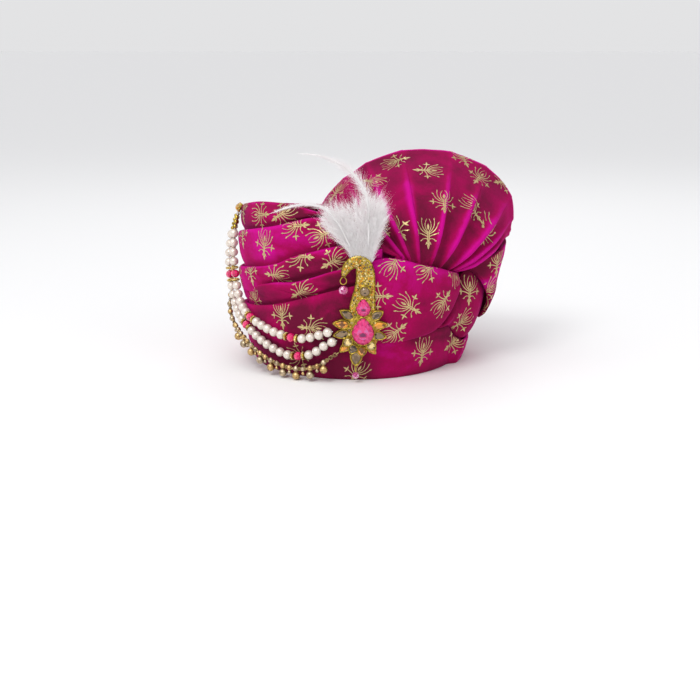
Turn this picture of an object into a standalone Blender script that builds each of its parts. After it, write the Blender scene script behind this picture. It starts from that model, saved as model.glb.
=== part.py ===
# Tied turban (pagri): a wound form with pleated velvet wraps, a standing fan, a gold brooch
# with a feather plume, and strings of pearls. Lengths are in millimetres, angles in degrees.
# +Z is up and -Y is the front. Shapes are worked out from the centre of the form's base, and
# at the end all of it is moved so that the origin is under the middle of the whole.
#
# Every wrap is worked out on the form's skin: an angle round the form (0 at the front, +90 at
# the wearer's left, which is +X), a height, and a stand-off from the skin.

import math

import bmesh
import bpy
import numpy as np
from mathutils import Matrix, Vector

MM = 0.001

# Form and crown
FORM_HALF_WIDTH = 107.0
FORM_HALF_DEPTH = 120.0
RIM_HEIGHT = 160.0
CROWN_HEIGHT = 138.0
FORM_WALL = 12.0
CROWN_WALL = 5.0
FORM_SECTORS = 30

# Wraps
CLOTH = 2.2              # thickness of one folded layer of velvet
FOLD_DEPTH = 8.6         # how far a pleat's fold stands off the form
TAIL = 6.0               # how far a wrap runs down under the one below it
SEAT = 0.5               # clearance between two layers
FRONT_BULGE = 15.0       # stand-off of the front wrap at its fullest
PANEL_BULGE = 21.0       # stand-off of the side panel at its fullest
SIDE_REACH = 41.0        # stand-off of the side fold at its fullest
SIDE_CLOTH = 4.0         # thickness of the side fold

# Fan
FAN_REACH = 104.0        # from the gather to the fan's rim
FAN_SWEEP = 110.0        # how far the rim stands behind the gather
FAN_CLOTH = 3.0
FAN_ROLL = 2.6           # radius of the rolled rim
FAN_BULGE = 8.0          # how far the face swells forward between gather and rim
PLEAT_DEPTH = 4.0

# Brooch
BROOCH_LENGTH = 100.0    # from the top of its head to the bottom of its point
BROOCH_PLATE = 3.2
BROOCH_CENTRE_X = 7.2    # middle of the large stone
BROOCH_CENTRE_Z = 50.8
BROOCH_LEAN = 5.9        # degrees that its top leans forward, as the form under it does
LARGE_STONE = 26.0       # heights of the two teardrops and the width of the round stone
SMALL_STONE = 17.0
ROUND_STONE = 9.0
HOOK_BEAD = 8.8
TIP_BEAD = 6.6
WIRE = 1.1
TIP_WIRE_LENGTH = 5.6
HANG = 0.3               # clearance between a drop and what it hangs on
STONE_SEAT = 0.3         # clearance between a stone and its plate

# Plume
PLUME_HEIGHT = 57.0
PLUME_WIDTH = 66.0
PLUME_DEPTH = 7.0
FEATHER_CLOTH = 1.0
FEATHER_STEPS = 10

# Strings
PEARL = 8.8
RONDELLE = 2.8           # length along the thread
RONDELLE_WIDTH = 7.6
THREAD = 1.8
CHAIN_WIRE = 2.8
DROP_BEAD = 7.6
DROP_LENGTH = 6.4        # from the chain down to the middle of a drop
DROP_PITCH = 15.0
CHAIN_BARE = 138.0       # length of chain above its first drop
BEAD_SIDES = 10
CLASP_STUD = 6.4
CHAIN_STEPS = 30         # sections along the chain


def clear_scene():
    for old in list(bpy.data.objects):
        bpy.data.objects.remove(old, do_unlink=True)


def material(name, colour, roughness, metallic=0.0):
    mat = bpy.data.materials.new(name)
    mat.use_nodes = True
    shader = mat.node_tree.nodes["Principled BSDF"]
    shader.inputs["Base Color"].default_value = (*colour, 1.0)
    shader.inputs["Roughness"].default_value = roughness
    shader.inputs["Metallic"].default_value = metallic
    return mat


def smooth(rows, at, column=1):
    """Value of a table's column at a point of its first column, on a smooth curve."""
    xs = [row[0] for row in rows]
    ys = [row[column] for row in rows]
    if at <= xs[0]:
        return ys[0]
    if at >= xs[-1]:
        return ys[-1]
    i = max(k for k in range(len(xs) - 1) if xs[k] <= at)
    slopes = []
    for k in (i, i + 1):
        if k == 0:
            slopes.append((ys[1] - ys[0]) / (xs[1] - xs[0]))
        elif k == len(xs) - 1:
            slopes.append((ys[-1] - ys[-2]) / (xs[-1] - xs[-2]))
        else:
            slopes.append((ys[k + 1] - ys[k - 1]) / (xs[k + 1] - xs[k - 1]))
    span = xs[i + 1] - xs[i]
    t = (at - xs[i]) / span
    start = (2 * t ** 3 - 3 * t ** 2 + 1) * ys[i] + (t ** 3 - 2 * t ** 2 + t) * span * slopes[0]
    end = (3 * t ** 2 - 2 * t ** 3) * ys[i + 1] + (t ** 3 - t ** 2) * span * slopes[1]
    return start + end


def finish(bm, name, mat, flat=False):
    """Turn a bmesh in millimetres into a named object."""
    bmesh.ops.scale(bm, vec=(MM, MM, MM), verts=bm.verts)
    bmesh.ops.recalc_face_normals(bm, faces=bm.faces)
    bmesh.ops.triangulate(bm, faces=bm.faces)
    mesh = bpy.data.meshes.new(name)
    bm.to_mesh(mesh)
    bm.free()
    obj = bpy.data.objects.new(name, mesh)
    bpy.context.scene.collection.objects.link(obj)
    obj.data.materials.append(mat)
    if not flat:
        mesh.shade_smooth()
        mesh.set_sharp_from_angle(angle=math.radians(40))
    return obj


def loft(bm, sections):
    """Skin sections, each a pair of equally long rows of points: outer side and inner side."""
    loops = []
    for outer, inner in sections:
        loops.append([bm.verts.new(p) for p in list(outer) + list(reversed(inner))])
    count = len(loops[0])
    for a, b in zip(loops, loops[1:]):
        for k in range(count):
            bm.faces.new((a[k], a[(k + 1) % count], b[(k + 1) % count], b[k]))
    for loop in (loops[0], loops[-1]):
        for k in range(count // 2 - 1):
            bm.faces.new((loop[k], loop[k + 1], loop[count - 2 - k], loop[count - 1 - k]))


def stack(bm, rings, start_tip=None, end_tip=None):
    """Skin closed rings of points one on the other; a tip closes an end to one point."""
    loops = [[bm.verts.new(p) for p in ring] for ring in rings]
    for a, b in zip(loops, loops[1:]):
        for k in range(len(a)):
            bm.faces.new((a[k], a[(k + 1) % len(a)], b[(k + 1) % len(b)], b[k]))
    for loop, tip in ((loops[0], start_tip), (loops[-1], end_tip)):
        if tip is None:
            bm.faces.new(loop)
        else:
            point = bm.verts.new(tip)
            for k in range(len(loop)):
                bm.faces.new((loop[k], loop[(k + 1) % len(loop)], point))


# Form

# Half width and half depth of the form's skin, as shares, against height over RIM_HEIGHT
SKIN = (
    # height, share
    (0.00, 0.888), (0.16, 0.935), (0.38, 0.975), (0.62, 1.000),
    (0.81, 0.990), (0.94, 0.950), (1.05, 0.860),
)

# Crown: height over the shoulder against the share of the skin's width that is left
CROWN_SHOULDER = 108.0
CROWN = (
    # height, share
    (0.27, 0.93), (0.53, 0.81), (0.76, 0.62), (0.93, 0.34),
)


def skin_share(height):
    return smooth(SKIN, height / RIM_HEIGHT)


def on_form(angle, height, stand_off):
    """Point at an angle and height, standing off the form's skin."""
    share = skin_share(height)
    turn = math.radians(angle)
    x = (FORM_HALF_WIDTH * share + stand_off) * math.sin(turn)
    y = -(FORM_HALF_DEPTH * share + stand_off) * math.cos(turn)
    return Vector((x, y, height))


def form_ring(height, share, inset):
    ring = []
    for k in range(FORM_SECTORS):
        turn = math.tau * k / FORM_SECTORS
        x = (FORM_HALF_WIDTH * share - inset) * math.sin(turn)
        y = -(FORM_HALF_DEPTH * share - inset) * math.cos(turn)
        ring.append((x, y, height))
    return ring


def crown_cap(mat):
    """The wound form: a wall all round, open below, that curves in over the head."""
    rise = CROWN_HEIGHT - CROWN_SHOULDER
    shoulder = skin_share(CROWN_SHOULDER)
    wall_heights = [CROWN_SHOULDER * k / 4 for k in range(5)]
    outer = [form_ring(z, skin_share(z), 0.0) for z in wall_heights]
    outer += [form_ring(CROWN_SHOULDER + rise * h, shoulder * s, 0.0) for h, s in CROWN]
    inner = [form_ring(z, skin_share(z), FORM_WALL) for z in (0.0, CROWN_SHOULDER / 2)]
    inner.append(form_ring(CROWN_SHOULDER - CROWN_WALL, shoulder, FORM_WALL))
    for h, s in CROWN[1::2]:
        height = CROWN_SHOULDER + rise * h - CROWN_WALL
        inner.append(form_ring(height, shoulder * s, FORM_WALL * (1 - h)))
    bm = bmesh.new()
    top = (0.0, 0.0, CROWN_HEIGHT)
    ceiling = (0.0, 0.0, CROWN_HEIGHT - CROWN_WALL)
    stack(bm, list(reversed(outer)) + inner, start_tip=top, end_tip=ceiling)
    return finish(bm, "crown_cap", mat)


# Wraps

# Upper edges of the five left wraps as shares of RIM_HEIGHT, round the form from the front
# centre by the left side and the back to the right side. The rim falls behind the plume.
EDGES = (
    # angle, wrap 1, wrap 2, wrap 3, wrap 4, wrap 5
    (-300, 0.800, 0.630, 0.450, 0.290, 0.150),
    (-230, 0.830, 0.650, 0.475, 0.312, 0.170),
    (-180, 0.838, 0.663, 0.488, 0.325, 0.175),
    (-130, 0.880, 0.713, 0.525, 0.388, 0.250),
    (-100, 0.925, 0.763, 0.550, 0.431, 0.319),
    (-80, 0.956, 0.794, 0.575, 0.463, 0.350),
    (-60, 0.994, 0.838, 0.613, 0.500, 0.381),
    (-40, 1.006, 0.888, 0.669, 0.556, 0.431),
    (-30, 1.000, 0.919, 0.719, 0.575, 0.463),
    (-20, 0.981, 0.944, 0.756, 0.613, 0.500),
    (-10, 0.950, 0.930, 0.788, 0.656, 0.538),
    (0, 0.862, 0.850, 0.806, 0.681, 0.568),
    (8, 0.800, 0.790, 0.775, 0.700, 0.594),
)
WRAP_BACK_END = -292.0
WRAP_FRONT_ENDS = (-24.0, 0.0, 6.0, 6.0, 6.0)

# How much of its fold each wrap's upper edge keeps: the third crease dies out on the left side
FOURTH_FOLD = ((-300, 1.0), (-130, 1.0), (-100, 0.35), (-60, 0.35), (-40, 1.0), (8, 1.0))


def angles_between(start, end):
    """Both ends, and every corner of the form's sectors between them."""
    step = 360.0 / FORM_SECTORS
    marks = [start]
    mark = (math.floor(start / step) + 1) * step
    while mark < end - step * 0.2:
        if mark - start > step * 0.2:
            marks.append(mark)
        mark += step
    marks.append(end)
    return marks


def left_wrap(number, mat):
    """One pleated wrap, its folded upper edge in front of the tail of the wrap above."""
    sections = []
    for angle in angles_between(WRAP_BACK_END, WRAP_FRONT_ENDS[number - 1]):
        top = smooth(EDGES, angle, number) * RIM_HEIGHT
        lowest = number == 5
        bottom = 0.0 if lowest else smooth(EDGES, angle, number + 1) * RIM_HEIGHT
        tail = 0.0 if lowest else TAIL
        keep = smooth(FOURTH_FOLD, angle) if number == 4 else 1.0
        recess = SEAT + CLOTH + SEAT if number > 1 else SEAT
        fold = recess + CLOTH + (FOLD_DEPTH - recess - CLOTH) * keep
        belly = fold * 0.86
        foot = FOLD_DEPTH * 0.55 if lowest else SEAT + CLOTH
        rise = top - bottom
        step = max(top - TAIL - 1.5, bottom - tail + 1.0)
        outer = [
            (bottom - tail, foot),
            (bottom + 0.04 * rise, foot),
            (bottom + 0.50 * rise, belly),
            (top - 0.28 * CLOTH - 0.08 * rise, fold),
            (top, fold - 0.35 * (fold - recess)),
        ]
        inner = [
            (bottom - tail, SEAT),
            (0.5 * (bottom - tail + step), SEAT),
            (step, SEAT),
            (step + 1.0, recess),
            (top, recess),
        ]
        if lowest:
            outer.insert(2, (0.25 * top, 0.5 * (foot + belly)))
            inner[1:2] = [(step / 3, SEAT), (step * 2 / 3, SEAT)]
        sections.append((
            [on_form(angle, z, r) for z, r in outer],
            [on_form(angle, z, r) for z, r in inner],
        ))
    bm = bmesh.new()
    loft(bm, sections)
    return finish(bm, f"left_wrap_{number}", mat)


# The front wrap: its edges as shares of RIM_HEIGHT and its fullness
FRONT_WRAP = (
    # angle, lower edge, upper edge, fullness
    (6.4, 0.225, 0.712, 0.62),
    (14, 0.225, 0.731, 0.75),
    (22, 0.228, 0.716, 0.88),
    (32, 0.241, 0.675, 0.98),
    (42, 0.266, 0.638, 1.00),
    (50, 0.335, 0.606, 0.95),
    (57, 0.425, 0.580, 0.80),
    (62, 0.495, 0.530, 0.55),
)

FRONT_WRAP_CUTS = (6.4, 12, 18, 24, 30, 36, 42, 48, 54, 60, 62)   # angles of its sections

# The base wrap below it, which runs on round the right side over the ends of the left wraps
LOWER_WRAP = (
    # angle, upper edge, inner stand-off over FOLD_DEPTH, fullness over the inner side
    (6.4, 0.214, 0.10, 0.90),
    (30, 0.230, 0.10, 1.10),
    (44, 0.251, 0.10, 1.10),
    (56, 0.250, 0.10, 1.20),
    (63, 0.190, 0.14, 1.50),
    (67, 0.150, 1.08, 0.62),
    (90, 0.140, 1.08, 0.62),
    (114, 0.130, 1.08, 0.40),
)

LOWER_WRAP_CUTS = (6.4, 12, 24, 36, 48, 60, 64, 67, 72, 84, 96, 108, 114)

# The side panel between the front wrap's end and the back
SIDE_PANEL = (
    # angle, lower edge, upper edge, inner stand-off over FOLD_DEPTH, fullness
    (47, 0.264, 0.290, 0.09, 0.40),
    (52, 0.264, 0.340, 0.09, 0.45),
    (57, 0.258, 0.415, 0.09, 0.50),
    (62.6, 0.215, 0.487, 0.12, 0.60),
    (66, 0.170, 0.575, 0.50, 0.70),
    (68, 0.160, 0.590, 1.10, 0.80),
    (78, 0.150, 0.640, 1.10, 1.00),
    (92, 0.148, 0.680, 1.10, 1.00),
    (114, 0.140, 0.670, 1.10, 0.70),
)

SIDE_PANEL_CUTS = (47, 52, 57, 60, 62.6, 66, 68, 72, 84, 96, 108, 114)

# The outer fold that falls from the fan's right end over the panel
SIDE_FOLD = (
    # angle, lower edge, upper edge, fullness
    (66, 0.595, 0.625, 0.36),
    (70, 0.530, 0.640, 0.62),
    (75, 0.430, 0.672, 0.84),
    (80, 0.320, 0.700, 0.95),
    (86, 0.240, 0.712, 1.00),
    (94, 0.235, 0.728, 1.00),
    (106, 0.250, 0.720, 0.86),
    (118, 0.290, 0.690, 0.62),
)
SIDE_FOLD_CUTS = (66, 72, 78, 84, 90, 96, 104, 112, 118)
# Its reach against height over RIM_HEIGHT
SIDE_PROFILE = (
    (0.20, 0.40), (0.24, 0.55), (0.28, 0.68), (0.38, 0.84), (0.47, 0.87), (0.56, 0.92),
    (0.66, 1.00), (0.78, 1.03),
)


def front_wrap(mat):
    """The wide smooth wrap; the fan's root is tucked in behind its upper edge."""
    sections = []
    for angle in FRONT_WRAP_CUTS:
        low = smooth(FRONT_WRAP, angle, 1) * RIM_HEIGHT
        top = smooth(FRONT_WRAP, angle, 2) * RIM_HEIGHT
        full = smooth(FRONT_WRAP, angle, 3) * FRONT_BULGE
        rise = top - low
        tuck = min(FAN_TUCK + 4.0, 0.5 * rise)
        pocket = FAN_CLOTH + 5.5 * SEAT
        seat = 1.6 * SEAT
        outer = (
            (low, 0.55 * full), (low + 0.08 * rise, 0.85 * full), (low + 0.30 * rise, full),
            (low + 0.62 * rise, 0.97 * full), (top - 0.10 * rise, 0.78 * full),
            (top, 0.5 * full + 0.5 * pocket),
        )
        inner = (
            (low, seat), (low + 0.5 * (rise - tuck) - 6.0 * rise / RIM_HEIGHT, seat),
            (low + 0.8 * (rise - tuck), seat), (top - tuck - 1.5, seat),
            (top - tuck, pocket), (top, pocket),
        )
        sections.append((
            [on_form(angle, z, r) for z, r in outer],
            [on_form(angle, z, r) for z, r in inner],
        ))
    bm = bmesh.new()
    loft(bm, sections)
    return finish(bm, "front_wrap", mat)


def lower_wrap(mat):
    sections = []
    for angle in LOWER_WRAP_CUTS:
        top = smooth(LOWER_WRAP, angle, 1) * RIM_HEIGHT
        inside = smooth(LOWER_WRAP, angle, 2) * FOLD_DEPTH
        full = inside + smooth(LOWER_WRAP, angle, 3) * FOLD_DEPTH
        middle = 0.5 * (inside + full)
        outer = ((0.0, middle), (0.12 * top, full), (0.55 * top, full), (top, middle))
        inner = ((0.0, inside), (0.12 * top, inside), (0.55 * top, inside), (top, inside))
        sections.append((
            [on_form(angle, z, r) for z, r in outer],
            [on_form(angle, z, r) for z, r in inner],
        ))
    bm = bmesh.new()
    loft(bm, sections)
    return finish(bm, "lower_wrap", mat)


def panel_stand_off(angle, share):
    """Outer stand-off of the side panel at a share of its own height."""
    inside = smooth(SIDE_PANEL, angle, 3) * FOLD_DEPTH
    full = smooth(SIDE_PANEL, angle, 4) * PANEL_BULGE
    edge = inside + CLOTH
    return edge + max(0.0, full - edge) * math.sin(math.pi * share) ** 0.8


def side_panel(mat):
    sections = []
    shares = (0.0, 0.15, 0.38, 0.62, 0.85, 1.0)
    for angle in SIDE_PANEL_CUTS:
        low = smooth(SIDE_PANEL, angle, 1) * RIM_HEIGHT
        top = smooth(SIDE_PANEL, angle, 2) * RIM_HEIGHT
        inside = smooth(SIDE_PANEL, angle, 3) * FOLD_DEPTH
        heights = [low + (top - low) * s for s in shares]
        sections.append((
            [on_form(angle, z, panel_stand_off(angle, s)) for z, s in zip(heights, shares)],
            [on_form(angle, z, inside) for z in heights],
        ))
    bm = bmesh.new()
    loft(bm, sections)
    return finish(bm, "side_panel", mat)


def side_fold(mat):
    sections = []
    for angle in SIDE_FOLD_CUTS:
        low = smooth(SIDE_FOLD, angle, 1) * RIM_HEIGHT
        top = smooth(SIDE_FOLD, angle, 2) * RIM_HEIGHT
        full = smooth(SIDE_FOLD, angle, 3) * SIDE_REACH
        outer = []
        inner = []
        for share in (0.0, 0.08, 0.3, 0.55, 0.8, 1.0):
            height = low + (top - low) * share
            reach = smooth(SIDE_PROFILE, height / RIM_HEIGHT) * full
            panel_low = smooth(SIDE_PANEL, angle, 1) * RIM_HEIGHT
            panel_top = smooth(SIDE_PANEL, angle, 2) * RIM_HEIGHT
            panel_share = min(1.0, max(0.0, (height - panel_low) / (panel_top - panel_low)))
            least = panel_stand_off(angle, panel_share) + 0.8 * SEAT
            thickness = SIDE_CLOTH * (0.5 if share in (0.0, 1.0) else 1.0)
            inside = max(least, reach - thickness)
            outer.append(on_form(angle, height, max(reach, inside + thickness)))
            inner.append(on_form(angle, height, inside))
        sections.append((outer, inner))
    bm = bmesh.new()
    loft(bm, sections)
    return finish(bm, "side_fold", mat)


# Fan

FAN_TUCK = 8.0           # how deep the fan's root goes behind the front wrap's edge
FAN_NECK = 0.06          # share of the way out where the pleats leave the root
# One row for each ray of the fan, from its left end over the top to its right end. Root angle
# is round the form; ray is the direction seen from the front; reach and sweep are shares.
FAN = (
    # place, root angle, ray, reach, sweep
    (0.00, 19, 162.0, 0.72, 1.06),
    (0.10, 21, 147.0, 0.73, 1.10),
    (0.22, 24, 128.0, 0.76, 1.10),
    (0.34, 28, 110.0, 0.82, 1.08),
    (0.46, 33, 92.0, 0.88, 1.02),
    (0.58, 39, 72.0, 0.92, 0.95),
    (0.70, 46, 53.0, 0.92, 0.86),
    (0.80, 51, 39.0, 0.84, 0.78),
    (0.90, 54, 28.0, 0.71, 0.72),
    (1.00, 57, 22.0, 0.62, 0.68),
)
# Crests of the pleats, as places in the table above
FAN_CRESTS = (0.19, 0.30, 0.43, 0.57, 0.67, 0.79, 0.88, 0.96)


def fan_gather(place, rise):
    """Point of the gathered root, which stands up behind the front wrap's upper edge."""
    angle = smooth(FAN, place, 1)
    height = smooth(FRONT_WRAP, angle, 2) * RIM_HEIGHT - FAN_TUCK + rise
    return on_form(angle, height, 2 * SEAT + FAN_CLOTH / 2)


def fan_face(place, out):
    """Point of the fan's middle surface: place from left to right, out from gather to rim."""
    gather = fan_gather(place, FAN_TUCK + 1.5)
    if out < FAN_NECK:
        return gather.lerp(fan_gather(place, 0.0), 1.0 - out / FAN_NECK)
    out = (out - FAN_NECK) / (1.0 - FAN_NECK)
    ray = math.radians(smooth(FAN, place, 2))
    reach = smooth(FAN, place, 3) * FAN_REACH * out
    sweep = smooth(FAN, place, 4) * FAN_SWEEP * out ** 2
    swell = FAN_BULGE * math.sin(math.pi * out)
    x = gather.x + reach * math.cos(ray)
    z = gather.z + reach * math.sin(ray)
    return Vector((x, gather.y + sweep - swell, z))


def fan_normal(place, out):
    step = 0.01
    across = fan_face(min(1.0, place + step), out) - fan_face(max(0.0, place - step), out)
    along = fan_face(place, min(1.0, out + step)) - fan_face(place, max(0.0, out - step))
    return along.cross(across).normalized() * -1


def pleat(place, out):
    """Height of the pleats: crests at the listed places, valleys half way between them."""
    marks = [(0.0, 0.0), (0.1, 0.1)]
    for left, right in zip(FAN_CRESTS, FAN_CRESTS[1:] + (1.04,)):
        marks.append((left, 1.0))
        marks.append(((left + right) / 2, -0.6))
    depth = np.interp(place, [m[0] for m in marks], [m[1] for m in marks])
    rise = min(1.0, out * 3.0) * (1.0 - 0.45 * out)
    return float(depth) * PLEAT_DEPTH * rise


def fan(mat):
    places = [0.0, 0.05, 0.10, 0.145]
    for left, right in zip(FAN_CRESTS, FAN_CRESTS[1:]):
        places += [left, (left + right) / 2]
    places += [FAN_CRESTS[-1], 1.0]
    sections = []
    for place in places:
        outer = []
        inner = []
        for out in (0.0, FAN_NECK, 0.15, 0.28, 0.46, 0.66, 0.84, 0.97):
            normal = fan_normal(place, out)
            middle = fan_face(place, out) + normal * pleat(place, out)
            outer.append(middle + normal * FAN_CLOTH / 2)
            inner.append(middle - normal * FAN_CLOTH / 2)
        normal = fan_normal(place, 1.0)
        rim = fan_face(place, 1.0) + normal * pleat(place, 1.0)
        along = (rim - fan_face(place, 0.95)).normalized()
        outer += [rim + normal * FAN_ROLL, rim + along * FAN_ROLL + normal * FAN_ROLL * 0.4]
        inner += [rim - normal * FAN_ROLL, rim + along * FAN_ROLL - normal * FAN_ROLL * 0.4]
        sections.append((outer, inner))
    bm = bmesh.new()
    loft(bm, sections)
    return finish(bm, "fan", mat)


# Brooch, drawn on its own plate: x to the viewer's right, y up and h out from the back, with
# its zero at the middle of the large stone. Lengths below are shares of BROOCH_LENGTH.

def brooch_base():
    """The plate's placing: its back just clear of the wraps' folds."""
    turn = Matrix.Rotation(math.radians(90 + BROOCH_LEAN), 4, "X")
    front = FORM_HALF_DEPTH * skin_share(BROOCH_CENTRE_Z) + FOLD_DEPTH + 0.3 * SEAT
    return Matrix.Translation((BROOCH_CENTRE_X, -front, BROOCH_CENTRE_Z)) @ turn


def on_brooch(x, y, h):
    """Point on the plate; x and y as shares of BROOCH_LENGTH, h in millimetres."""
    return brooch_base() @ Vector((x * BROOCH_LENGTH, y * BROOCH_LENGTH, h))


# Centre line of the hooked head and neck, and its width, from the stones up to the hook's tip
NECK = (
    # x, y, width
    (0.000, 0.100, 0.240), (-0.005, 0.200, 0.240), (0.005, 0.300, 0.215),
    (0.015, 0.380, 0.190), (0.022, 0.460, 0.175), (0.020, 0.540, 0.165),
    (0.002, 0.606, 0.150), (-0.045, 0.640, 0.125), (-0.098, 0.632, 0.105),
    (-0.140, 0.595, 0.085), (-0.165, 0.550, 0.060), (-0.176, 0.510, 0.032),
)

# Petals and settings round the large stone: middle, half length, half width, direction
PETALS = (
    # x, y, half length, half width, degrees, height
    (-0.140, 0.150, 0.075, 0.048, 150, 4.2),
    (-0.190, 0.060, 0.078, 0.048, 175, 4.6),
    (-0.190, -0.035, 0.078, 0.046, 190, 4.2),
    (-0.140, -0.110, 0.052, 0.052, 215, 5.2),
    (-0.165, -0.165, 0.060, 0.040, 222, 3.8),
    (0.125, 0.145, 0.065, 0.046, 32, 4.2),
    (0.150, 0.050, 0.068, 0.044, 8, 4.6),
    (0.145, -0.050, 0.068, 0.044, -12, 4.2),
    (0.075, -0.145, 0.052, 0.052, -40, 5.2),
    (0.080, -0.180, 0.055, 0.036, -50, 3.8),
    (-0.090, -0.175, 0.050, 0.050, 240, 5.2),
    (-0.010, -0.195, 0.050, 0.050, 270, 5.2),
    (-0.062, -0.262, 0.078, 0.060, 266, 4.6),
)
PLATE = ((0.000, -0.010), (0.155, 0.185))    # middle and half widths of the plate under it
PETAL_SIDES = 6
PLATE_SIDES = 14


def leaf_ring(x, y, half_length, half_width, degrees, height, scale):
    """A pointed oval ring of points about a middle; the point faces the given direction."""
    ring = []
    turn = math.radians(degrees)
    for k in range(PETAL_SIDES):
        a = math.tau * k / PETAL_SIDES
        along = math.cos(a) * half_length * scale
        taper = 1.0 - 0.35 * max(0.0, math.cos(a))
        across = math.sin(a) * half_width * scale * taper
        px = x + along * math.cos(turn) - across * math.sin(turn)
        py = y + along * math.sin(turn) + across * math.cos(turn)
        ring.append(on_brooch(px, py, height))
    return ring


def helper(bm, name):
    """A shape that is fused into another one afterwards."""
    bmesh.ops.scale(bm, vec=(MM, MM, MM), verts=bm.verts)
    bmesh.ops.recalc_face_normals(bm, faces=bm.faces)
    mesh = bpy.data.meshes.new(name)
    bm.to_mesh(mesh)
    bm.free()
    return bpy.data.objects.new(name, mesh)


def fuse(name, base, others, mat):
    """Boolean union of a base shape with others, kept as one named body."""
    scene = bpy.context.scene.collection
    group = bpy.data.collections.new(name + "_shapes")
    scene.children.link(group)
    for other in others:
        group.objects.link(other)
    scene.objects.link(base)
    union = base.modifiers.new("fuse", "BOOLEAN")
    union.operation = "UNION"
    union.operand_type = "COLLECTION"
    union.collection = group
    union.solver = "EXACT"
    bpy.context.view_layer.update()
    depsgraph = bpy.context.evaluated_depsgraph_get()
    mesh = bpy.data.meshes.new_from_object(base.evaluated_get(depsgraph))
    mesh.name = name
    for old in list(others) + [base]:
        bpy.data.objects.remove(old, do_unlink=True)
    bpy.data.collections.remove(group)
    mesh.materials.clear()
    mesh.materials.append(mat)
    mesh.shade_smooth()
    mesh.set_sharp_from_angle(angle=math.radians(40))
    obj = bpy.data.objects.new(name, mesh)
    scene.objects.link(obj)
    return obj


def brooch_body(mat):
    """Plate, neck, hooked head, petals and the small stones in them, soldered into one."""
    neck = bmesh.new()
    sections = []
    for k, (x, y, width) in enumerate(NECK):
        before = NECK[max(0, k - 1)]
        after = NECK[min(len(NECK) - 1, k + 1)]
        run = Vector((after[0] - before[0], after[1] - before[1])).normalized()
        side = Vector((run.y, -run.x)) * width / 2
        rows = ((-1.0, 0.65), (-0.55, 1.0), (0.55, 1.0), (1.0, 0.65))
        outer = [on_brooch(x + side.x * s, y + side.y * s, BROOCH_PLATE * h) for s, h in rows]
        inner = [on_brooch(x + side.x * s, y + side.y * s, 0.1) for s, h in rows]
        sections.append((outer, inner))
    loft(neck, sections)
    base = helper(neck, "neck")
    (px, py), (half_x, half_y) = PLATE
    plate = bmesh.new()
    rings = []
    for h in (0.2, BROOCH_PLATE * 0.92):
        ring = []
        for k in range(PLATE_SIDES):
            a = math.tau * k / PLATE_SIDES
            ring.append(on_brooch(px + half_x * math.sin(a), py + half_y * math.cos(a), h))
        rings.append(ring)
    stack(plate, rings)
    shapes = [helper(plate, "plate")]
    for number, (x, y, half_length, half_width, degrees, height) in enumerate(PETALS):
        petal = bmesh.new()
        foot = 0.25 + 0.05 * (number % 4)
        stack(petal, [
            leaf_ring(x, y, half_length, half_width, degrees, foot, 1.0),
            leaf_ring(x, y, half_length, half_width, degrees, 0.66 * height, 1.0),
            leaf_ring(x, y, half_length, half_width, degrees, height, 0.45),
        ])
        shapes.append(helper(petal, f"petal_{number}"))
    return fuse("brooch_body", base, shapes, mat)


def teardrop_ring(x, y, height, size, scale, sides=12):
    """Outline of a pear shape of the given height, its point up."""
    ring = []
    for k in range(sides):
        a = math.tau * k / sides
        up = math.cos(a)
        half = 0.40 * size * scale * math.sin(a) * (1.0 - 0.42 * max(0.0, up))
        rise = size * scale * (0.5 * up if up < 0 else 0.5 * up * (0.86 + 0.14 * up))
        ring.append(on_brooch(x + half / BROOCH_LENGTH, y + rise / BROOCH_LENGTH, height))
    return ring


def teardrop_stone(name, x, y, size, mat):
    """A cut stone: flat back, girdle, a bevelled crown and a table."""
    seat = BROOCH_PLATE + STONE_SEAT
    bm = bmesh.new()
    stack(bm, [
        teardrop_ring(x, y, seat, size, 0.90),
        teardrop_ring(x, y, seat + 0.10 * size, size, 1.0),
        teardrop_ring(x, y, seat + 0.19 * size, size, 0.80),
        teardrop_ring(x, y, seat + 0.24 * size, size, 0.52),
    ])
    return finish(bm, name, mat, flat=True)


def round_stone(name, x, y, width, mat):
    seat = BROOCH_PLATE + STONE_SEAT
    bm = bmesh.new()
    rings = []
    for h, scale in ((0.0, 0.86), (0.14, 1.0), (0.34, 0.80), (0.44, 0.50)):
        ring = []
        for k in range(10):
            a = math.tau * k / 10
            radius = width / 2 * scale / BROOCH_LENGTH
            ring.append(on_brooch(x + radius * math.sin(a), y + radius * math.cos(a),
                                  seat + h * width))
        rings.append(ring)
    stack(bm, rings)
    return finish(bm, name, mat, flat=True)


def bead(name, middle, width, mat, rings=5, sides=BEAD_SIDES):
    bm = bmesh.new()
    radius = width / 2
    loops = []
    for k in range(1, rings + 1):
        a = math.pi * k / (rings + 1)
        loops.append([
            middle + Vector((radius * math.sin(a) * math.cos(math.tau * n / sides),
                             radius * math.sin(a) * math.sin(math.tau * n / sides),
                             radius * math.cos(a)))
            for n in range(sides)
        ])
    up = Vector((0, 0, radius))
    stack(bm, loops, start_tip=middle + up, end_tip=middle - up)
    return finish(bm, name, mat)


HOOK_TIP = (-0.177, 0.509)     # end of the hook, where its ring hangs
HOOK_RING = 3.4                # radius of the ring's middle line
POINT_TIP = (-0.066, -0.342)   # bottom of the brooch's point


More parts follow.
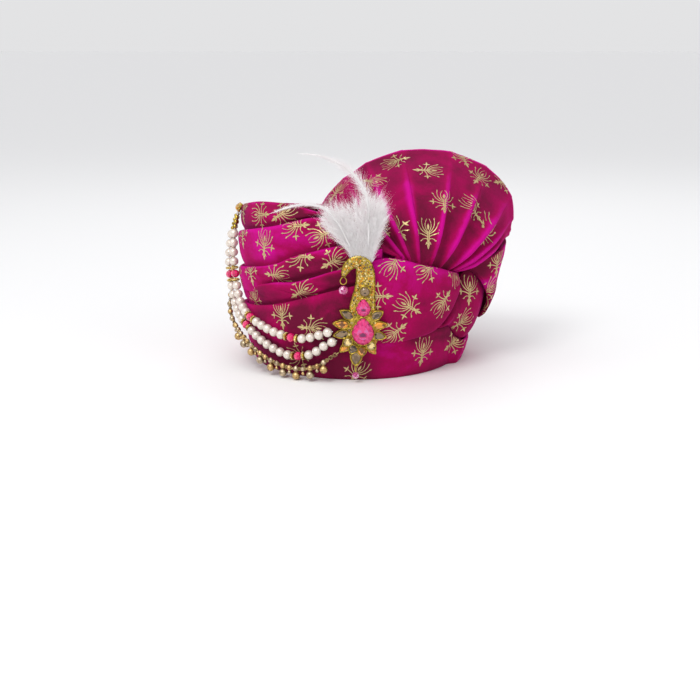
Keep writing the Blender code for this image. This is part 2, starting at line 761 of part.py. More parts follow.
def brooch_drops(gold, pink):
    """The ring and bead under the hook, and the wire and bead under the point."""
    lift = BROOCH_PLATE / 2
    turn = math.radians(8)
    out = Vector((math.sin(turn), -math.cos(turn), 0.0))
    side = Vector((math.cos(turn), math.sin(turn), 0.0))
    up = Vector((0, 0, 1))
    top = on_brooch(*HOOK_TIP, lift)
    middle = top - up * (HOOK_RING + WIRE / 2 + HANG)
    bm = bmesh.new()
    rings = []
    for k in range(10):
        a = math.tau * k / 10
        spoke = side * math.sin(a) + up * math.cos(a)
        rings.append([
            middle + spoke * (HOOK_RING + WIRE / 2 * math.cos(math.tau * n / 5))
            + out * (WIRE / 2 * math.sin(math.tau * n / 5))
            for n in range(5)
        ])
    loops = [[bm.verts.new(p) for p in ring] for ring in rings]
    for a, b in zip(loops, loops[1:] + loops[:1]):
        for n in range(5):
            bm.faces.new((a[n], a[(n + 1) % 5], b[(n + 1) % 5], b[n]))
    finish(bm, "hook_ring", gold)
    drop = HOOK_RING + WIRE / 2 + HANG + HOOK_BEAD / 2
    bead("hook_bead", middle - up * drop, HOOK_BEAD, pink)

    start = on_brooch(*POINT_TIP, lift) - up * 0.2
    bm = bmesh.new()
    stack(bm, [
        [start - up * z + side * (WIRE / 2 * math.cos(math.tau * n / 6))
         + out * (WIRE / 2 * math.sin(math.tau * n / 6)) for n in range(6)]
        for z in (0.0, TIP_WIRE_LENGTH)
    ])
    finish(bm, "tip_wire", gold)
    bead("tip_bead", start - up * (TIP_WIRE_LENGTH + HANG + TIP_BEAD / 2), TIP_BEAD, pink)


LOCK_DEPTH = 0.46        # half thickness of the thickest lock over PLUME_DEPTH

# Plume, in shares: x and z of each lock's tip over PLUME_WIDTH and PLUME_HEIGHT
LOCKS = (
    # x, z, half width
    (-0.50, 0.62, 0.085), (-0.42, 0.80, 0.090), (-0.25, 0.92, 0.095), (-0.05, 1.00, 0.100),
    (0.15, 1.00, 0.100), (0.33, 0.92, 0.095), (0.47, 0.76, 0.090), (0.50, 0.58, 0.085),
)


def plume_base():
    """Bottom of the plume, just over the brooch's head."""
    return on_brooch(-0.050, 0.697, 2.6)


def ribbon(bm, points, half_widths, half_depth, sides=6):
    """A flattened tube through points, its flat side to the front."""
    rings = []
    for k, point in enumerate(points):
        run = points[min(len(points) - 1, k + 1)] - points[max(0, k - 1)]
        side = Vector((run.z, 0, -run.x)).normalized()
        ring = []
        for n in range(sides):
            a = math.tau * (n + 0.5) / sides
            thickness = half_depth * min(1.0, 0.35 + half_widths[k] / max(half_widths))
            ring.append(point + side * half_widths[k] * math.cos(a)
                        + Vector((0, thickness * math.sin(a), 0)))
        rings.append(ring)
    stack(bm, rings)


def plume(mat):
    """White fluff in locks fused to a head, and two long feathers in front of it."""
    root = plume_base()
    head = bmesh.new()
    loops = []
    for k in range(1, 5):
        a = math.pi * k / 5
        loops.append([
            root + Vector((9.0 * math.sin(a) * math.cos(math.tau * n / 10),
                           PLUME_DEPTH * 0.42 * math.sin(a) * math.sin(math.tau * n / 10),
                           5.0 + 5.0 * math.cos(a)))
            for n in range(10)
        ])
    stack(head, loops)
    locks = []
    for number, (x, z, half_width) in enumerate(LOCKS):
        tip = Vector((x * PLUME_WIDTH, 0, z * PLUME_HEIGHT))
        bend = Vector((x * PLUME_WIDTH * 0.42, 0, z * PLUME_HEIGHT * 0.56))
        points = []
        widths = []
        for t in (0.04, 0.40, 0.75, 1.0):
            points.append(root + Vector((0, 0, 3.0)) + bend * 2 * t * (1 - t) + tip * t * t)
            shape = (0.45, 1.0, 0.9, 0.25)[len(widths)]
            widths.append(half_width * PLUME_WIDTH * shape * 1.15)
        lock = bmesh.new()
        ribbon(lock, points, widths, PLUME_DEPTH * (LOCK_DEPTH - 0.03 * (number % 3)))
        locks.append(helper(lock, f"lock_{number}"))
    fuse("plume_fluff", helper(head, "head"), locks, mat)


# The two long feathers: x, z and half width along each, in shares of the plume's sizes
FEATHER_TALL = (
    (0.14, 0.18, 0.010), (0.15, 0.45, 0.016), (0.14, 0.80, 0.030), (0.07, 1.08, 0.046),
    (-0.06, 1.28, 0.050), (-0.24, 1.44, 0.046), (-0.48, 1.55, 0.034), (-0.76, 1.56, 0.008),
)
FEATHER_SIDE = (
    (-0.10, 0.16, 0.010), (-0.26, 0.50, 0.018), (-0.44, 0.70, 0.034), (-0.66, 0.745, 0.040),
    (-0.90, 0.72, 0.030), (-1.12, 0.63, 0.008),
)


def feather(name, rows, mat):
    """A long narrow feather that lies on the front of the fluff."""
    root = plume_base()
    lift = PLUME_DEPTH * LOCK_DEPTH + FEATHER_CLOTH / 2 + 0.6 * SEAT
    points = []
    widths = []
    rows_by_place = [(n,) + row for n, row in enumerate(rows)]
    for k in range(FEATHER_STEPS + 1):
        place = k / FEATHER_STEPS * (len(rows) - 1)
        x = smooth(rows_by_place, place, 1) * PLUME_WIDTH
        z = smooth(rows_by_place, place, 2) * PLUME_HEIGHT
        points.append(root + Vector((x, -lift, z)))
        widths.append(smooth(rows_by_place, place, 3) * PLUME_WIDTH)
    bm = bmesh.new()
    ribbon(bm, points, widths, FEATHER_CLOTH / 2)
    return finish(bm, name, mat)


# Strings: routes on the form, chosen by hand from the clasp down the left side to the brooch,
# with one row for each point: angle, height and stand-off
STRING_ROUTES = {
    "upper": (
        (-81.3, 144.8, 11.8), (-80.5, 122, 13.2), (-80, 100, 13.3), (-79, 80, 13.0),
        (-74, 63, 12.8), (-65, 53, 12.8), (-52, 46.5, 12.6), (-38, 41, 12.4),
        (-25, 40, 12.4), (-12.6, 48, 12.6),
    ),
    "lower": (
        (-88.5, 144.1, 11.8), (-89.5, 122, 15.5), (-88, 98, 18), (-86, 76, 18),
        (-82, 59, 16.5), (-74, 47, 15), (-62, 38.5, 13.6), (-48, 28.5, 13),
        (-34, 22, 13), (-22, 25, 13), (-12.8, 37, 13),
    ),
    "chain": (
        (-95.7, 143.4, 11.8), (-98.5, 110, 16), (-98, 84, 18.5), (-94, 64, 20), (-85, 49, 21.5),
        (-72, 37.5, 21), (-59, 27.5, 20.5), (-47, 17.5, 19.5), (-37, 12, 18.5),
        (-27, 10.8, 18), (-18, 15, 17), (-11.5, 24, 15.5),
    ),
    "clasp": ((-78.5, 148.5, 11.8), (-88, 147.5, 11.8), (-98.5, 146.5, 11.8)),
}
# Pearls in each run from the clasp to the brooch; a pink bead in two rondelles joins the runs
PEARL_RUNS = {"upper": (4, 5, 5, 4), "lower": (4, 6, 7, 4)}


def route(name, spacing=0.5):
    """Evenly spaced points of a smooth curve through a route's points."""
    rows = [(n,) + row for n, row in enumerate(STRING_ROUTES[name])]
    fine = []
    for k in range((len(rows) - 1) * 40 + 1):
        at = k / 40
        fine.append(on_form(smooth(rows, at, 1), smooth(rows, at, 2), smooth(rows, at, 3)))
    along = [0.0]
    for a, b in zip(fine, fine[1:]):
        along.append(along[-1] + (b - a).length)
    steps = int(along[-1] / spacing)
    points = []
    for k in range(steps + 1):
        at = along[-1] * k / steps
        points.append(Vector([np.interp(at, along, [p[i] for p in fine]) for i in range(3)]))
    return points, along[-1]


def turned_string(bm, name, profile, sides):
    """A turned shape along a route: profile rows of distance along it and radius."""
    points, length = route(name)
    rings = []
    for at, radius in profile:
        place = min(1.0, max(0.0, at / length)) * (len(points) - 1)
        i = min(len(points) - 2, int(place))
        middle = points[i].lerp(points[i + 1], place - i)
        ahead = points[min(len(points) - 1, i + 4)]
        behind = points[max(0, i - 3)]
        run = (ahead - behind).normalized()
        outward = Vector((middle.x, middle.y, 0.0))
        across = run.cross(outward).normalized()
        third = run.cross(across)
        rings.append([
            middle + (across * math.cos(math.tau * n / sides)
                      + third * math.sin(math.tau * n / sides)) * radius
            for n in range(sides)
        ])
    stack(bm, rings)


def bead_rows(middle, width, length):
    """Profile rows of one bead on the thread."""
    rows = []
    for place, share in ((-0.97, 0.0), (-0.52, 0.93), (0.52, 0.93)):
        rows.append((middle + place * length / 2, max(width / 2 * share, THREAD / 2)))
    return rows


def pearl_string(which, mat):
    points, length = route(which)
    pieces = []
    for number, count in enumerate(PEARL_RUNS[which]):
        if number:
            pieces += [("rondelle", RONDELLE), ("bead", PEARL), ("rondelle", RONDELLE)]
        pieces += [("pearl", PEARL)] * count
    total = sum(size for kind, size in pieces)
    pitch = min(1.04, (length - 2.0) / total)
    at = length - total * pitch - 0.6
    profile = [(0.0, THREAD / 2)]
    if at > 2.0:
        profile.append((at - 0.2, THREAD / 2))
    for kind, size in pieces:
        middle = at + size * pitch / 2
        if kind == "rondelle":
            profile.append((middle - size * 0.32, RONDELLE_WIDTH / 2))
            profile.append((middle + size * 0.32, RONDELLE_WIDTH / 2))
        else:
            profile += bead_rows(middle, PEARL, size)
        at += size * pitch
    profile.append((length, THREAD / 2))
    bm = bmesh.new()
    turned_string(bm, which, profile, BEAD_SIDES)
    return finish(bm, f"pearl_string_{which}", mat)


def drop_chain(mat):
    """The chain, as a tube of its outer width, with its hanging beads fused to it."""
    points, length = route("chain")
    tube = bmesh.new()
    turned_string(tube, "chain", [(length * k / CHAIN_STEPS, CHAIN_WIRE / 2)
                                  for k in range(CHAIN_STEPS + 1)], 6)
    drops = []
    number = int((length - CHAIN_BARE) / DROP_PITCH)
    for k in range(number):
        at = length - 9.0 - k * DROP_PITCH
        top = points[int(at / length * (len(points) - 1))]
        rings = []
        for down, radius in ((0.0, 0.7), (DROP_LENGTH - DROP_BEAD / 2 * 0.96, 0.8),
                             (DROP_LENGTH - DROP_BEAD / 2 * 0.40, DROP_BEAD / 2 * 0.96),
                             (DROP_LENGTH + DROP_BEAD / 2 * 0.40, DROP_BEAD / 2 * 0.96),
                             (DROP_LENGTH + DROP_BEAD / 2 * 0.96, DROP_BEAD / 2 * 0.30)):
            rings.append([
                top + Vector((radius * math.cos(math.tau * n / BEAD_SIDES),
                              radius * math.sin(math.tau * n / BEAD_SIDES), -down))
                for n in range(BEAD_SIDES)
            ])
        drop = bmesh.new()
        stack(drop, rings)
        drops.append(helper(drop, f"drop_{k}"))
    return fuse("drop_chain", helper(tube, "chain"), drops, mat)


def string_clasp(mat):
    points, length = route("clasp")
    profile = [(0.0, 1.2)]
    for share in (0.14, 0.5, 0.86):
        profile += bead_rows(length * share, CLASP_STUD, CLASP_STUD)
    profile.append((length, 1.2))
    bm = bmesh.new()
    turned_string(bm, "clasp", profile, BEAD_SIDES)
    return finish(bm, "string_clasp", mat)


def centre_on_base():
    """Move everything together so that the middle of its box's base is at the origin."""
    objects = list(bpy.context.scene.collection.objects)
    points = [vert.co for obj in objects for vert in obj.data.vertices]
    low = [min(p[i] for p in points) for i in range(3)]
    high = [max(p[i] for p in points) for i in range(3)]
    shift = Vector((-(low[0] + high[0]) / 2, -(low[1] + high[1]) / 2, -low[2]))
    for obj in objects:
        obj.data.transform(Matrix.Translation(shift))


def build():
    clear_scene()
    velvet = material("magenta_velvet", (0.55, 0.005, 0.19), 0.75)
    lining = material("crown_velvet", (0.60, 0.005, 0.24), 0.8)
    gold = material("brooch_gold", (0.80, 0.56, 0.16), 0.28, 1.0)
    pink = material("pink_stone", (0.85, 0.05, 0.35), 0.08)
    smoky = material("smoky_stone", (0.32, 0.20, 0.10), 0.08)
    pearl = material("pearl", (0.90, 0.87, 0.80), 0.25)
    feathers = material("white_feather", (0.92, 0.92, 0.92), 0.9)
    antique = material("antique_gold", (0.62, 0.42, 0.16), 0.35, 1.0)

    crown_cap(lining)
    for number in range(1, 6):
        left_wrap(number, velvet)
    front_wrap(velvet)
    lower_wrap(velvet)
    side_panel(velvet)
    side_fold(velvet)
    fan(velvet)
    brooch_body(gold)
    teardrop_stone("brooch_teardrop_large", 0.0, 0.0, LARGE_STONE, pink)
    teardrop_stone("brooch_teardrop_small", 0.004, 0.222, SMALL_STONE, pink)
    round_stone("brooch_round_stone", 0.016, 0.372, ROUND_STONE, smoky)
    brooch_drops(gold, pink)
    plume(feathers)
    feather("feather_tall", FEATHER_TALL, feathers)
    feather("feather_side", FEATHER_SIDE, feathers)
    string_clasp(antique)
    pearl_string("upper", pearl)
    pearl_string("lower", pearl)
    drop_chain(antique)
    centre_on_base()


build()
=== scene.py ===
import math

import bpy
import numpy as np
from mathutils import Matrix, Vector


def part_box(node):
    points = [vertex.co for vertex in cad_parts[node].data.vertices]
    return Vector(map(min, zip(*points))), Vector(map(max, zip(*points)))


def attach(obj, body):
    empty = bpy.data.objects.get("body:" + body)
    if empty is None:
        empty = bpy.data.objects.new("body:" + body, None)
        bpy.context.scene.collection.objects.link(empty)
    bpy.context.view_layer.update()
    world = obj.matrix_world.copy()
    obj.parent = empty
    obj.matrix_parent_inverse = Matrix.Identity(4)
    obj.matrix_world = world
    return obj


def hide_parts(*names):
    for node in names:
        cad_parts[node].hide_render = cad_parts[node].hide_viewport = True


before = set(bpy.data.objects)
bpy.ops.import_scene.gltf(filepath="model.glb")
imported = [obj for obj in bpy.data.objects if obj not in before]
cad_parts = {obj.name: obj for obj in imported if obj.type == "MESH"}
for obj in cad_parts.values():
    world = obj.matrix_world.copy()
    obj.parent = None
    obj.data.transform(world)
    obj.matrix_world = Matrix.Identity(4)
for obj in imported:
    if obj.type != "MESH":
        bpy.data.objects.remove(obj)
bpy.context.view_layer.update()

# Shapes are worked out in millimetres from the centre of the form's base, with -Y to the front
# and +Z up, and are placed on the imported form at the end. Angles are in degrees.
MM = 0.001
UP = np.array([0.0, 0.0, 1.0])
crown_low, crown_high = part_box("crown_cap")
CENTRE = np.array([
    (crown_low[0] + crown_high[0]) / 2,
    (crown_low[1] + crown_high[1]) / 2,
    crown_low[2],
])

# Form and crown
FORM_HALF_WIDTH = 107.0
FORM_HALF_DEPTH = 120.0
RIM_HEIGHT = 160.0
CROWN_HEIGHT = 138.0
CROWN_SHOULDER = 108.0
FORM_WALL = 12.0
CROWN_WALL = 5.0
CROWN_SECTORS = 200

# Velvet
CLOTH = 2.2
FOLD_DEPTH = 8.6         # how far a pleat's fold stands off the form
TAIL = 6.0               # how far a wrap runs down under the one below it
SEAT = 0.5
FRONT_BULGE = 15.0
PANEL_BULGE = 23.5
SIDE_REACH = 41.0
SIDE_CLOTH = 4.0
GROUND_GAP = 0.05        # least height of cloth and foil over the floor
# Radii that turn angles into lengths along each piece, for its creases
WRAP_RADIUS = 116.0
FRONT_RADIUS = 124.0
PANEL_RADIUS = 122.0
FOLD_RADIUS = 140.0

# Fan
FAN_REACH = 104.0
FAN_SWEEP = 110.0
FAN_CLOTH = 3.0
FAN_ROLL = 2.6
FAN_BULGE = 8.0
FAN_TUCK = 8.0
PLEAT_DEPTH = 4.6
FAN_ARC = 260.0          # length of the pleated edge

# Foil print
MOTIF = 31.0             # length of one motif
FOIL_WEIGHT = 0.64       # width of the strokes over the pattern's own
FOIL_LIFT = 0.22         # how far the foil lies over the velvet
MOTIF_COLUMN = 50.0      # spacing of the motifs on plain stretches
MOST_OFF = 0.35          # how far a point of the print may lie from its wanted place
FOLLOW_STEPS = 9         # rounds in which a point of the print finds its place on the cloth

# Brooch
BROOCH_LENGTH = 100.0
BROOCH_PLATE = 3.2
BROOCH_CENTRE_X = 7.2
BROOCH_CENTRE_Z = 50.8
BROOCH_LEAN = 5.9
LARGE_STONE = 26.0
SMALL_STONE = 17.0
ROUND_STONE = 9.0
HOOK_BEAD = 8.8
TIP_BEAD = 6.6
WIRE = 1.1
PAVE = 2.6               # width of the small set stones
EDGE_BEAD = 1.25
EDGE_PITCH = 1.35
PETAL_BEAD = 1.15
PETAL_BEADS = 7
CLAW = 1.5
FILL_STONES = 26

# Plume
PLUME_HEIGHT = 57.0
PLUME_WIDTH = 66.0
PLUME_DEPTH = 7.0
LOCKS_DRAWN = 15
LOCK_HAIRS = 240
TIP_HAIRS = 120

# Strings
PEARL = 8.8
RONDELLE = 2.8
RONDELLE_WIDTH = 7.6
THREAD = 1.0
DROP_BEAD = 7.6
DROP_LENGTH = 6.4
DROP_PITCH = 15.0
CHAIN_BARE = 138.0
LINK_PITCH = 2.5
LINK = (4.0, 2.9, 0.95)  # length, width and wire of the chain's links
DROP_LINK = (2.6, 1.8, 0.5)
TOP_BEAD = 5.4
HALF_BEAD = 5.0
LOW_BEAD = 3.4
SPACER = 2.6
CLASP_STUD = 6.4
RIM_GEM = 1.9            # width of the stones round the rondelles and on the clasp

rng = np.random.default_rng(7)


# Curves and surfaces

def spline(knots, values, at):
    """Smooth curve through values at knots, where a value may be a whole array."""
    knots = np.asarray(knots, float)
    values = np.asarray(values, float)
    gaps = np.diff(knots).reshape((-1,) + (1,) * (values.ndim - 1))
    slopes = np.empty_like(values)
    slopes[1:-1] = (values[2:] - values[:-2]) / (gaps[1:] + gaps[:-1])
    slopes[0] = (values[1] - values[0]) / gaps[0]
    slopes[-1] = (values[-1] - values[-2]) / gaps[-1]
    at = np.asarray(at, float)
    i = np.clip(np.searchsorted(knots, at, side="right") - 1, 0, len(knots) - 2)
    shape = at.shape + (1,) * (values.ndim - 1)
    span = np.diff(knots)[i].reshape(shape)
    t = np.clip((at - knots[i]).reshape(shape) / span, 0.0, 1.0)
    start = (2 * t ** 3 - 3 * t ** 2 + 1) * values[i] + (t ** 3 - 2 * t ** 2 + t) * span * slopes[i]
    end = (3 * t ** 2 - 2 * t ** 3) * values[i + 1] + (t ** 3 - t ** 2) * span * slopes[i + 1]
    return start + end


def resample(rows, count):
    """A smooth run of rows through the rows of a table."""
    rows = np.array(rows, float)
    return spline(np.arange(len(rows)), rows, np.linspace(0, len(rows) - 1, count))


def distances(points):
    """How far along a path each of its points lies."""
    return np.concatenate([[0], np.cumsum(np.linalg.norm(np.diff(points, axis=0), axis=1))])


def column(rows, at, number=1):
    """A table's column at points of its first column."""
    table = np.array(rows, float)
    return spline(table[:, 0], table[:, number], at)


def ease(low, high, at):
    t = np.clip((at - low) / (high - low), 0.0, 1.0)
    return t * t * (3 - 2 * t)


# Half width and half depth of the form's skin, as shares, against height over RIM_HEIGHT
SKIN = (
    (0.00, 0.888), (0.16, 0.935), (0.38, 0.975), (0.62, 1.000),
    (0.81, 0.990), (0.94, 0.950), (1.05, 0.860),
)
CROWN = ((0.00, 1.00), (0.27, 0.93), (0.53, 0.81), (0.76, 0.62), (0.93, 0.34), (1.00, 0.00))


def skin_share(height):
    return column(SKIN, np.asarray(height, float) / RIM_HEIGHT)


def on_form(angle, height, stand_off):
    """Points at angles and heights, standing off the form's skin."""
    angle, height, stand_off = np.broadcast_arrays(angle, height, stand_off)
    share = skin_share(height)
    turn = np.radians(angle)
    x = (FORM_HALF_WIDTH * share + stand_off) * np.sin(turn)
    y = -(FORM_HALF_DEPTH * share + stand_off) * np.cos(turn)
    return np.stack([x, y, height], -1)


def unit(vectors):
    size = np.linalg.norm(vectors, axis=-1, keepdims=True)
    return vectors / np.maximum(size, 1e-9)


def away(spot):
    """The level direction from the form's axis out to a place."""
    return unit(spot * (1, 1, 0))


def normals(grid):
    return unit(np.cross(np.gradient(grid, axis=0), np.gradient(grid, axis=1)))


def noise(u, v, seed):
    """Smooth random field from -1 to 1."""
    table = np.random.default_rng(seed).uniform(-1, 1, (97, 97))
    u, v = np.broadcast_arrays(np.asarray(u, float) + 500.0, np.asarray(v, float) + 500.0)
    iu = np.floor(u).astype(int)
    iv = np.floor(v).astype(int)
    fu = u - iu
    fv = v - iv
    fu = fu * fu * (3 - 2 * fu)
    fv = fv * fv * (3 - 2 * fv)
    low, high = (table[iu % 97, row % 97] * (1 - fu) + table[(iu + 1) % 97, row % 97] * fu
                 for row in (iv, iv + 1))
    return low * (1 - fv) + high * fv


def ripples(u, v, *rows):
    """Sum of smooth random fields, each given by its two spacings, its seed and its size."""
    return sum(noise(u / wide, v / high, seed) * size for wide, high, seed, size in rows)


def bell(at, middle, width):
    return np.exp(-((at - middle) / width) ** 2)


# Pieces

class Shape:
    """Gathers the points and faces of one piece."""

    def __init__(self):
        self.points = []
        self.faces = []
        self.finish = []
        self.facet_glints = {}
        self.count = 0

    def add(self, points, faces, finish=0, facet_glints=None):
        points = np.asarray(points, float).reshape(-1, 3)
        if facet_glints is not None:
            self.facet_glints[len(self.faces)] = np.resize(facet_glints, len(faces))
        faces = [tuple(self.count + i for i in face) for face in faces]
        self.points.append(points)
        self.faces += faces
        self.finish += [finish] * len(faces)
        self.count += len(points)

    def piece(self, name, materials, flat=(), attributes=None):
        points = CENTRE + np.concatenate(self.points) * MM
        mesh = bpy.data.meshes.new(name)
        mesh.from_pydata(points.tolist(), [], self.faces)
        for material in materials:
            mesh.materials.append(material)
        mesh.polygons.foreach_set("material_index", self.finish)
        mesh.polygons.foreach_set("use_smooth", [finish not in flat for finish in self.finish])
        # Flat-shaded faces each get a value that paints glints and reflections into the stone's colour:
        # the given values, else random ones
        if flat:
            facet_glints = np.random.default_rng(len(self.faces)).uniform(0, 1, len(self.faces))
            for first, given in self.facet_glints.items():
                facet_glints[first:first + len(given)] = given
            painted_glint = mesh.attributes.new("painted_glint", "FLOAT", "FACE").data
            painted_glint.foreach_set("value", facet_glints.astype(np.float32))
        for key, values in (attributes or {}).items():
            data = mesh.attributes.new(key, "FLOAT", "POINT").data
            data.foreach_set("value", np.asarray(values, np.float32).ravel())
        mesh.update()
        obj = bpy.data.objects.new(name, mesh)
        bpy.context.scene.collection.objects.link(obj)
        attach(obj, "root")
        return obj


def grid_faces(rows, columns, close_rows=False, close_columns=False):
    faces = []
    for i in range(rows if close_rows else rows - 1):
        for j in range(columns if close_columns else columns - 1):
            k = (i + 1) % rows
            m = (j + 1) % columns
            faces.append((i * columns + j, k * columns + j, k * columns + m, i * columns + m))
    return faces


def round_turn(count, shift=0.0):
    """Angles of one turn, in radians."""
    return (np.arange(count) + shift) / count * math.tau


def spokes(side, third, count):
    """Unit steps out from a middle, turning from one direction to another."""
    a = round_turn(count)[:, None]
    return side[..., None, :] * np.cos(a) + third[..., None, :] * np.sin(a)


def add_tube(shape, path, radius, sides=8, closed=False, finish=0, up=UP):
    """A round bar along a path; radius may vary from point to point."""
    path = np.asarray(path, float)
    if closed:
        run = unit(np.roll(path, -1, 0) - np.roll(path, 1, 0))
    else:
        run = unit(np.gradient(path, axis=0))
    side = unit(np.cross(run, np.broadcast_to(np.asarray(up, float), run.shape)))
    radius = np.broadcast_to(np.asarray(radius, float), (len(path),))
    rings = path[:, None] + spokes(side, np.cross(side, run), sides) * radius[:, None, None]
    first = shape.count
    shape.add(rings, grid_faces(len(path), sides, closed, True), finish)
    if not closed:
        shape.faces.append(tuple(range(first, first + sides)))
        shape.faces.append(tuple(reversed(range(shape.count - sides, shape.count))))
        shape.finish += [finish, finish]


def add_ball(shape, middle, width, rings=10, sides=16, finish=0, axis=(0, 0, 1), squash=1.0):
    """A bead round an axis."""
    axis = unit(np.asarray(axis, float))
    side = unit(np.cross(axis, (1.0, 0, 0) if abs(axis[0]) < 0.8 else (0, 1.0, 0)))
    a = (np.arange(1, rings) / rings * math.pi)[:, None, None]
    pole = axis * squash * width / 2
    rows = (np.sin(a) * spokes(side, np.cross(axis, side), sides) + np.cos(a) * axis * squash) * width / 2
    points = np.concatenate([rows.reshape(-1, 3), [pole], [-pole]]) + middle
    faces = [face[::-1] for face in grid_faces(rings - 1, sides, False, True)]
    top = (rings - 1) * sides
    for k in range(sides):
        faces.append((top, k, (k + 1) % sides))
        faces.append((top + 1, top - sides + (k + 1) % sides, top - sides + k))
    shape.add(points, faces, finish)


def add_stack(shape, rings, finish=0, caps=(True, True)):
    """Closed rings of points skinned one on the other."""
    rings = np.asarray(rings, float)
    count, sides = rings.shape[:2]
    faces = grid_faces(count, sides, False, True)
    if caps[0]:
        faces.append(tuple(range(sides)))
    if caps[1]:
        faces.append(tuple(reversed(range((count - 1) * sides, count * sides))))
    shape.add(rings, faces, finish)


def take_place(shape, name, materials, node, flat=(), attributes=None):
    """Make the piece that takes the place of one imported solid."""
    piece = shape.piece(name, materials, flat, attributes)
    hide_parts(node)


# Materials

def fill(tree, node, values):
    """Set a node's inputs, each to a fixed value or linked to an output of another node."""
    for key, value in values.items():
        if isinstance(value, bpy.types.NodeSocket):
            tree.links.new(value, node.inputs[key])
        else:
            node.inputs[key].default_value = (*value, 1.0) if isinstance(value, tuple) else value


def new_node(tree, kind, values, **settings):
    node = tree.nodes.new(kind)
    for key, value in settings.items():
        setattr(node, key, value)
    fill(tree, node, values)
    return node


def new_material(name):
    material = bpy.data.materials.new(name)
    material.use_nodes = True
    tree = material.node_tree
    place = tree.nodes.new("ShaderNodeTexCoord").outputs["Object"]
    return material, tree, tree.nodes["Principled BSDF"], place


def cloud(tree, place, scale, detail=3.0, roughness=0.55, distortion=0.0):
    return new_node(tree, "ShaderNodeTexNoise", {
        "Vector": place, "Scale": scale, "Detail": detail, "Roughness": roughness,
        "Distortion": distortion}).outputs["Fac"]


def stretch(tree, value, low=0.0, high=1.0, to_low=0.0, to_high=1.0):
    return new_node(tree, "ShaderNodeMapRange", {
        "Value": value, "From Min": low, "From Max": high, "To Min": to_low,
        "To Max": to_high}).outputs[0]


def reckon(tree, operation, first, second):
    return new_node(tree, "ShaderNodeMath", {0: first, 1: second}, operation=operation).outputs[0]


def mix_values(tree, share, first, second):
    return new_node(tree, "ShaderNodeMix", {0: share, 2: first, 3: second}).outputs[0]


def mix_colours(tree, share, first, second):
    values = {0: share, 6: first, 7: second}
    return new_node(tree, "ShaderNodeMix", values, data_type="RGBA").outputs[2]


def read_attribute(tree, name):
    return new_node(tree, "ShaderNodeAttribute", {}, attribute_name=name).outputs["Fac"]


def bump(tree, height, strength, distance):
    values = {"Height": height, "Strength": strength, "Distance": distance}
    return new_node(tree, "ShaderNodeBump", values).outputs["Normal"]


def ramp(tree, value, stops):
    node = new_node(tree, "ShaderNodeValToRGB", {"Fac": value})
    elements = node.color_ramp.elements
    for element, (place, colour) in zip(elements, (stops[0], stops[-1])):
        element.position = place
        element.color = (*colour, 1.0)
    for place, colour in stops[1:-1]:
        elements.new(place).color = (*colour, 1.0)
    return node.outputs["Color"]


FLOAT, COLOUR, VECTOR = "NodeSocketFloat", "NodeSocketColor", "NodeSocketVector"


def new_group(name, inputs, outputs):
    """A node group, with the outputs of its input node and with its output node."""
    group = bpy.data.node_groups.new(name, "ShaderNodeTree")
    for in_out, sockets in (("INPUT", inputs), ("OUTPUT", outputs)):
        for socket, kind in sockets.items():
            group.interface.new_socket(socket, in_out=in_out, socket_type=kind)
    given = group.nodes.new("NodeGroupInput").outputs
    return group, given, group.nodes.new("NodeGroupOutput")


def pile_group():
    """How velvet pile lies: brushed patches as a value and the fine pile as a height."""
    group, given, out = new_group("velvet_pile", {"Place": VECTOR, "Patch Size": FLOAT},
                                  {"Brushed": FLOAT, "Height": FLOAT})
    place = given["Place"]
    patches = cloud(group, place, given["Patch Size"], 4.0, 0.6, 0.6)
    nap_and_painted_light = mix_values(group, 0.45, cloud(group, place, 1500.0, 2.0, 0.7),
                     cloud(group, place, 420.0, 3.0, 0.6))
    fill(group, out, {"Brushed": mix_values(group, 0.28, patches, nap_and_painted_light), "Height": nap_and_painted_light})
    return group


def wear_group():
    """Darker and rougher patches on the metal, placed by a noise field."""
    group, given, out = new_group(
        "metal_wear", {"Place": VECTOR, "Clean": COLOUR, "Dark": COLOUR, "Spread": FLOAT},
        {"Colour": COLOUR, "Roughness": FLOAT})
    spots = cloud(group, given["Place"], 350.0, 5.0, 0.65)
    worn = reckon(group, "POWER", stretch(group, spots, 0.38, 0.66), given["Spread"])
    fill(group, out, {"Colour": mix_colours(group, worn, given["Clean"], given["Dark"]),
                      "Roughness": stretch(group, spots, to_low=0.18, to_high=0.55)})
    return group


PILE = pile_group()
WEAR = wear_group()


def velvet(name, deep, middle, bright, patch_size):
    """Velvet whose colour runs from its deep shade to its bright shade with a value at each point that
    holds painted highlights on folds, rims and ridges, painted shade in creases and under overlaps, and
    how the pile lies; random brushed patches are added.
    """
    material, tree, shader, place = new_material(name)
    pile = new_node(tree, "ShaderNodeGroup", {"Place": place, "Patch Size": patch_size},
                    node_tree=PILE)
    patches = stretch(tree, pile.outputs["Brushed"], 0.3, 0.7, -0.34, 0.34)
    painted_light_and_pile = reckon(tree, "ADD", read_attribute(tree, "nap_and_painted_light"), patches)
    fill(tree, shader, {
        "Base Color": ramp(tree, painted_light_and_pile, ((0.05, deep), (0.5, middle), (0.95, bright))),
        "Roughness": 0.85, "Specular IOR Level": 0.06, "Sheen Weight": 0.42,
        "Sheen Roughness": 0.34, "Sheen Tint": (1.0, 0.03, 0.46),
        "Normal": bump(tree, pile.outputs["Height"], 0.35, 0.0006)})
    return material


def foil_print(name, foil, cloth):
    """Pale gold foil on velvet, broken where the pile shows through."""
    material, tree, shader, place = new_material(name)
    bare = stretch(tree, cloud(tree, place, 900.0, 4.0, 0.7), 0.56, 0.63)
    tone = cloud(tree, place, 260.0, 2.0)
    foils = ramp(tree, tone, ((0.3, tuple(c * 0.72 for c in foil)), (0.7, foil)))
    fill(tree, shader, {
        "Base Color": mix_colours(tree, bare, foils, cloth),
        "Metallic": stretch(tree, bare, to_low=0.55, to_high=0.0),
        "Roughness": stretch(tree, tone, to_low=0.32, to_high=0.5)})
    return material


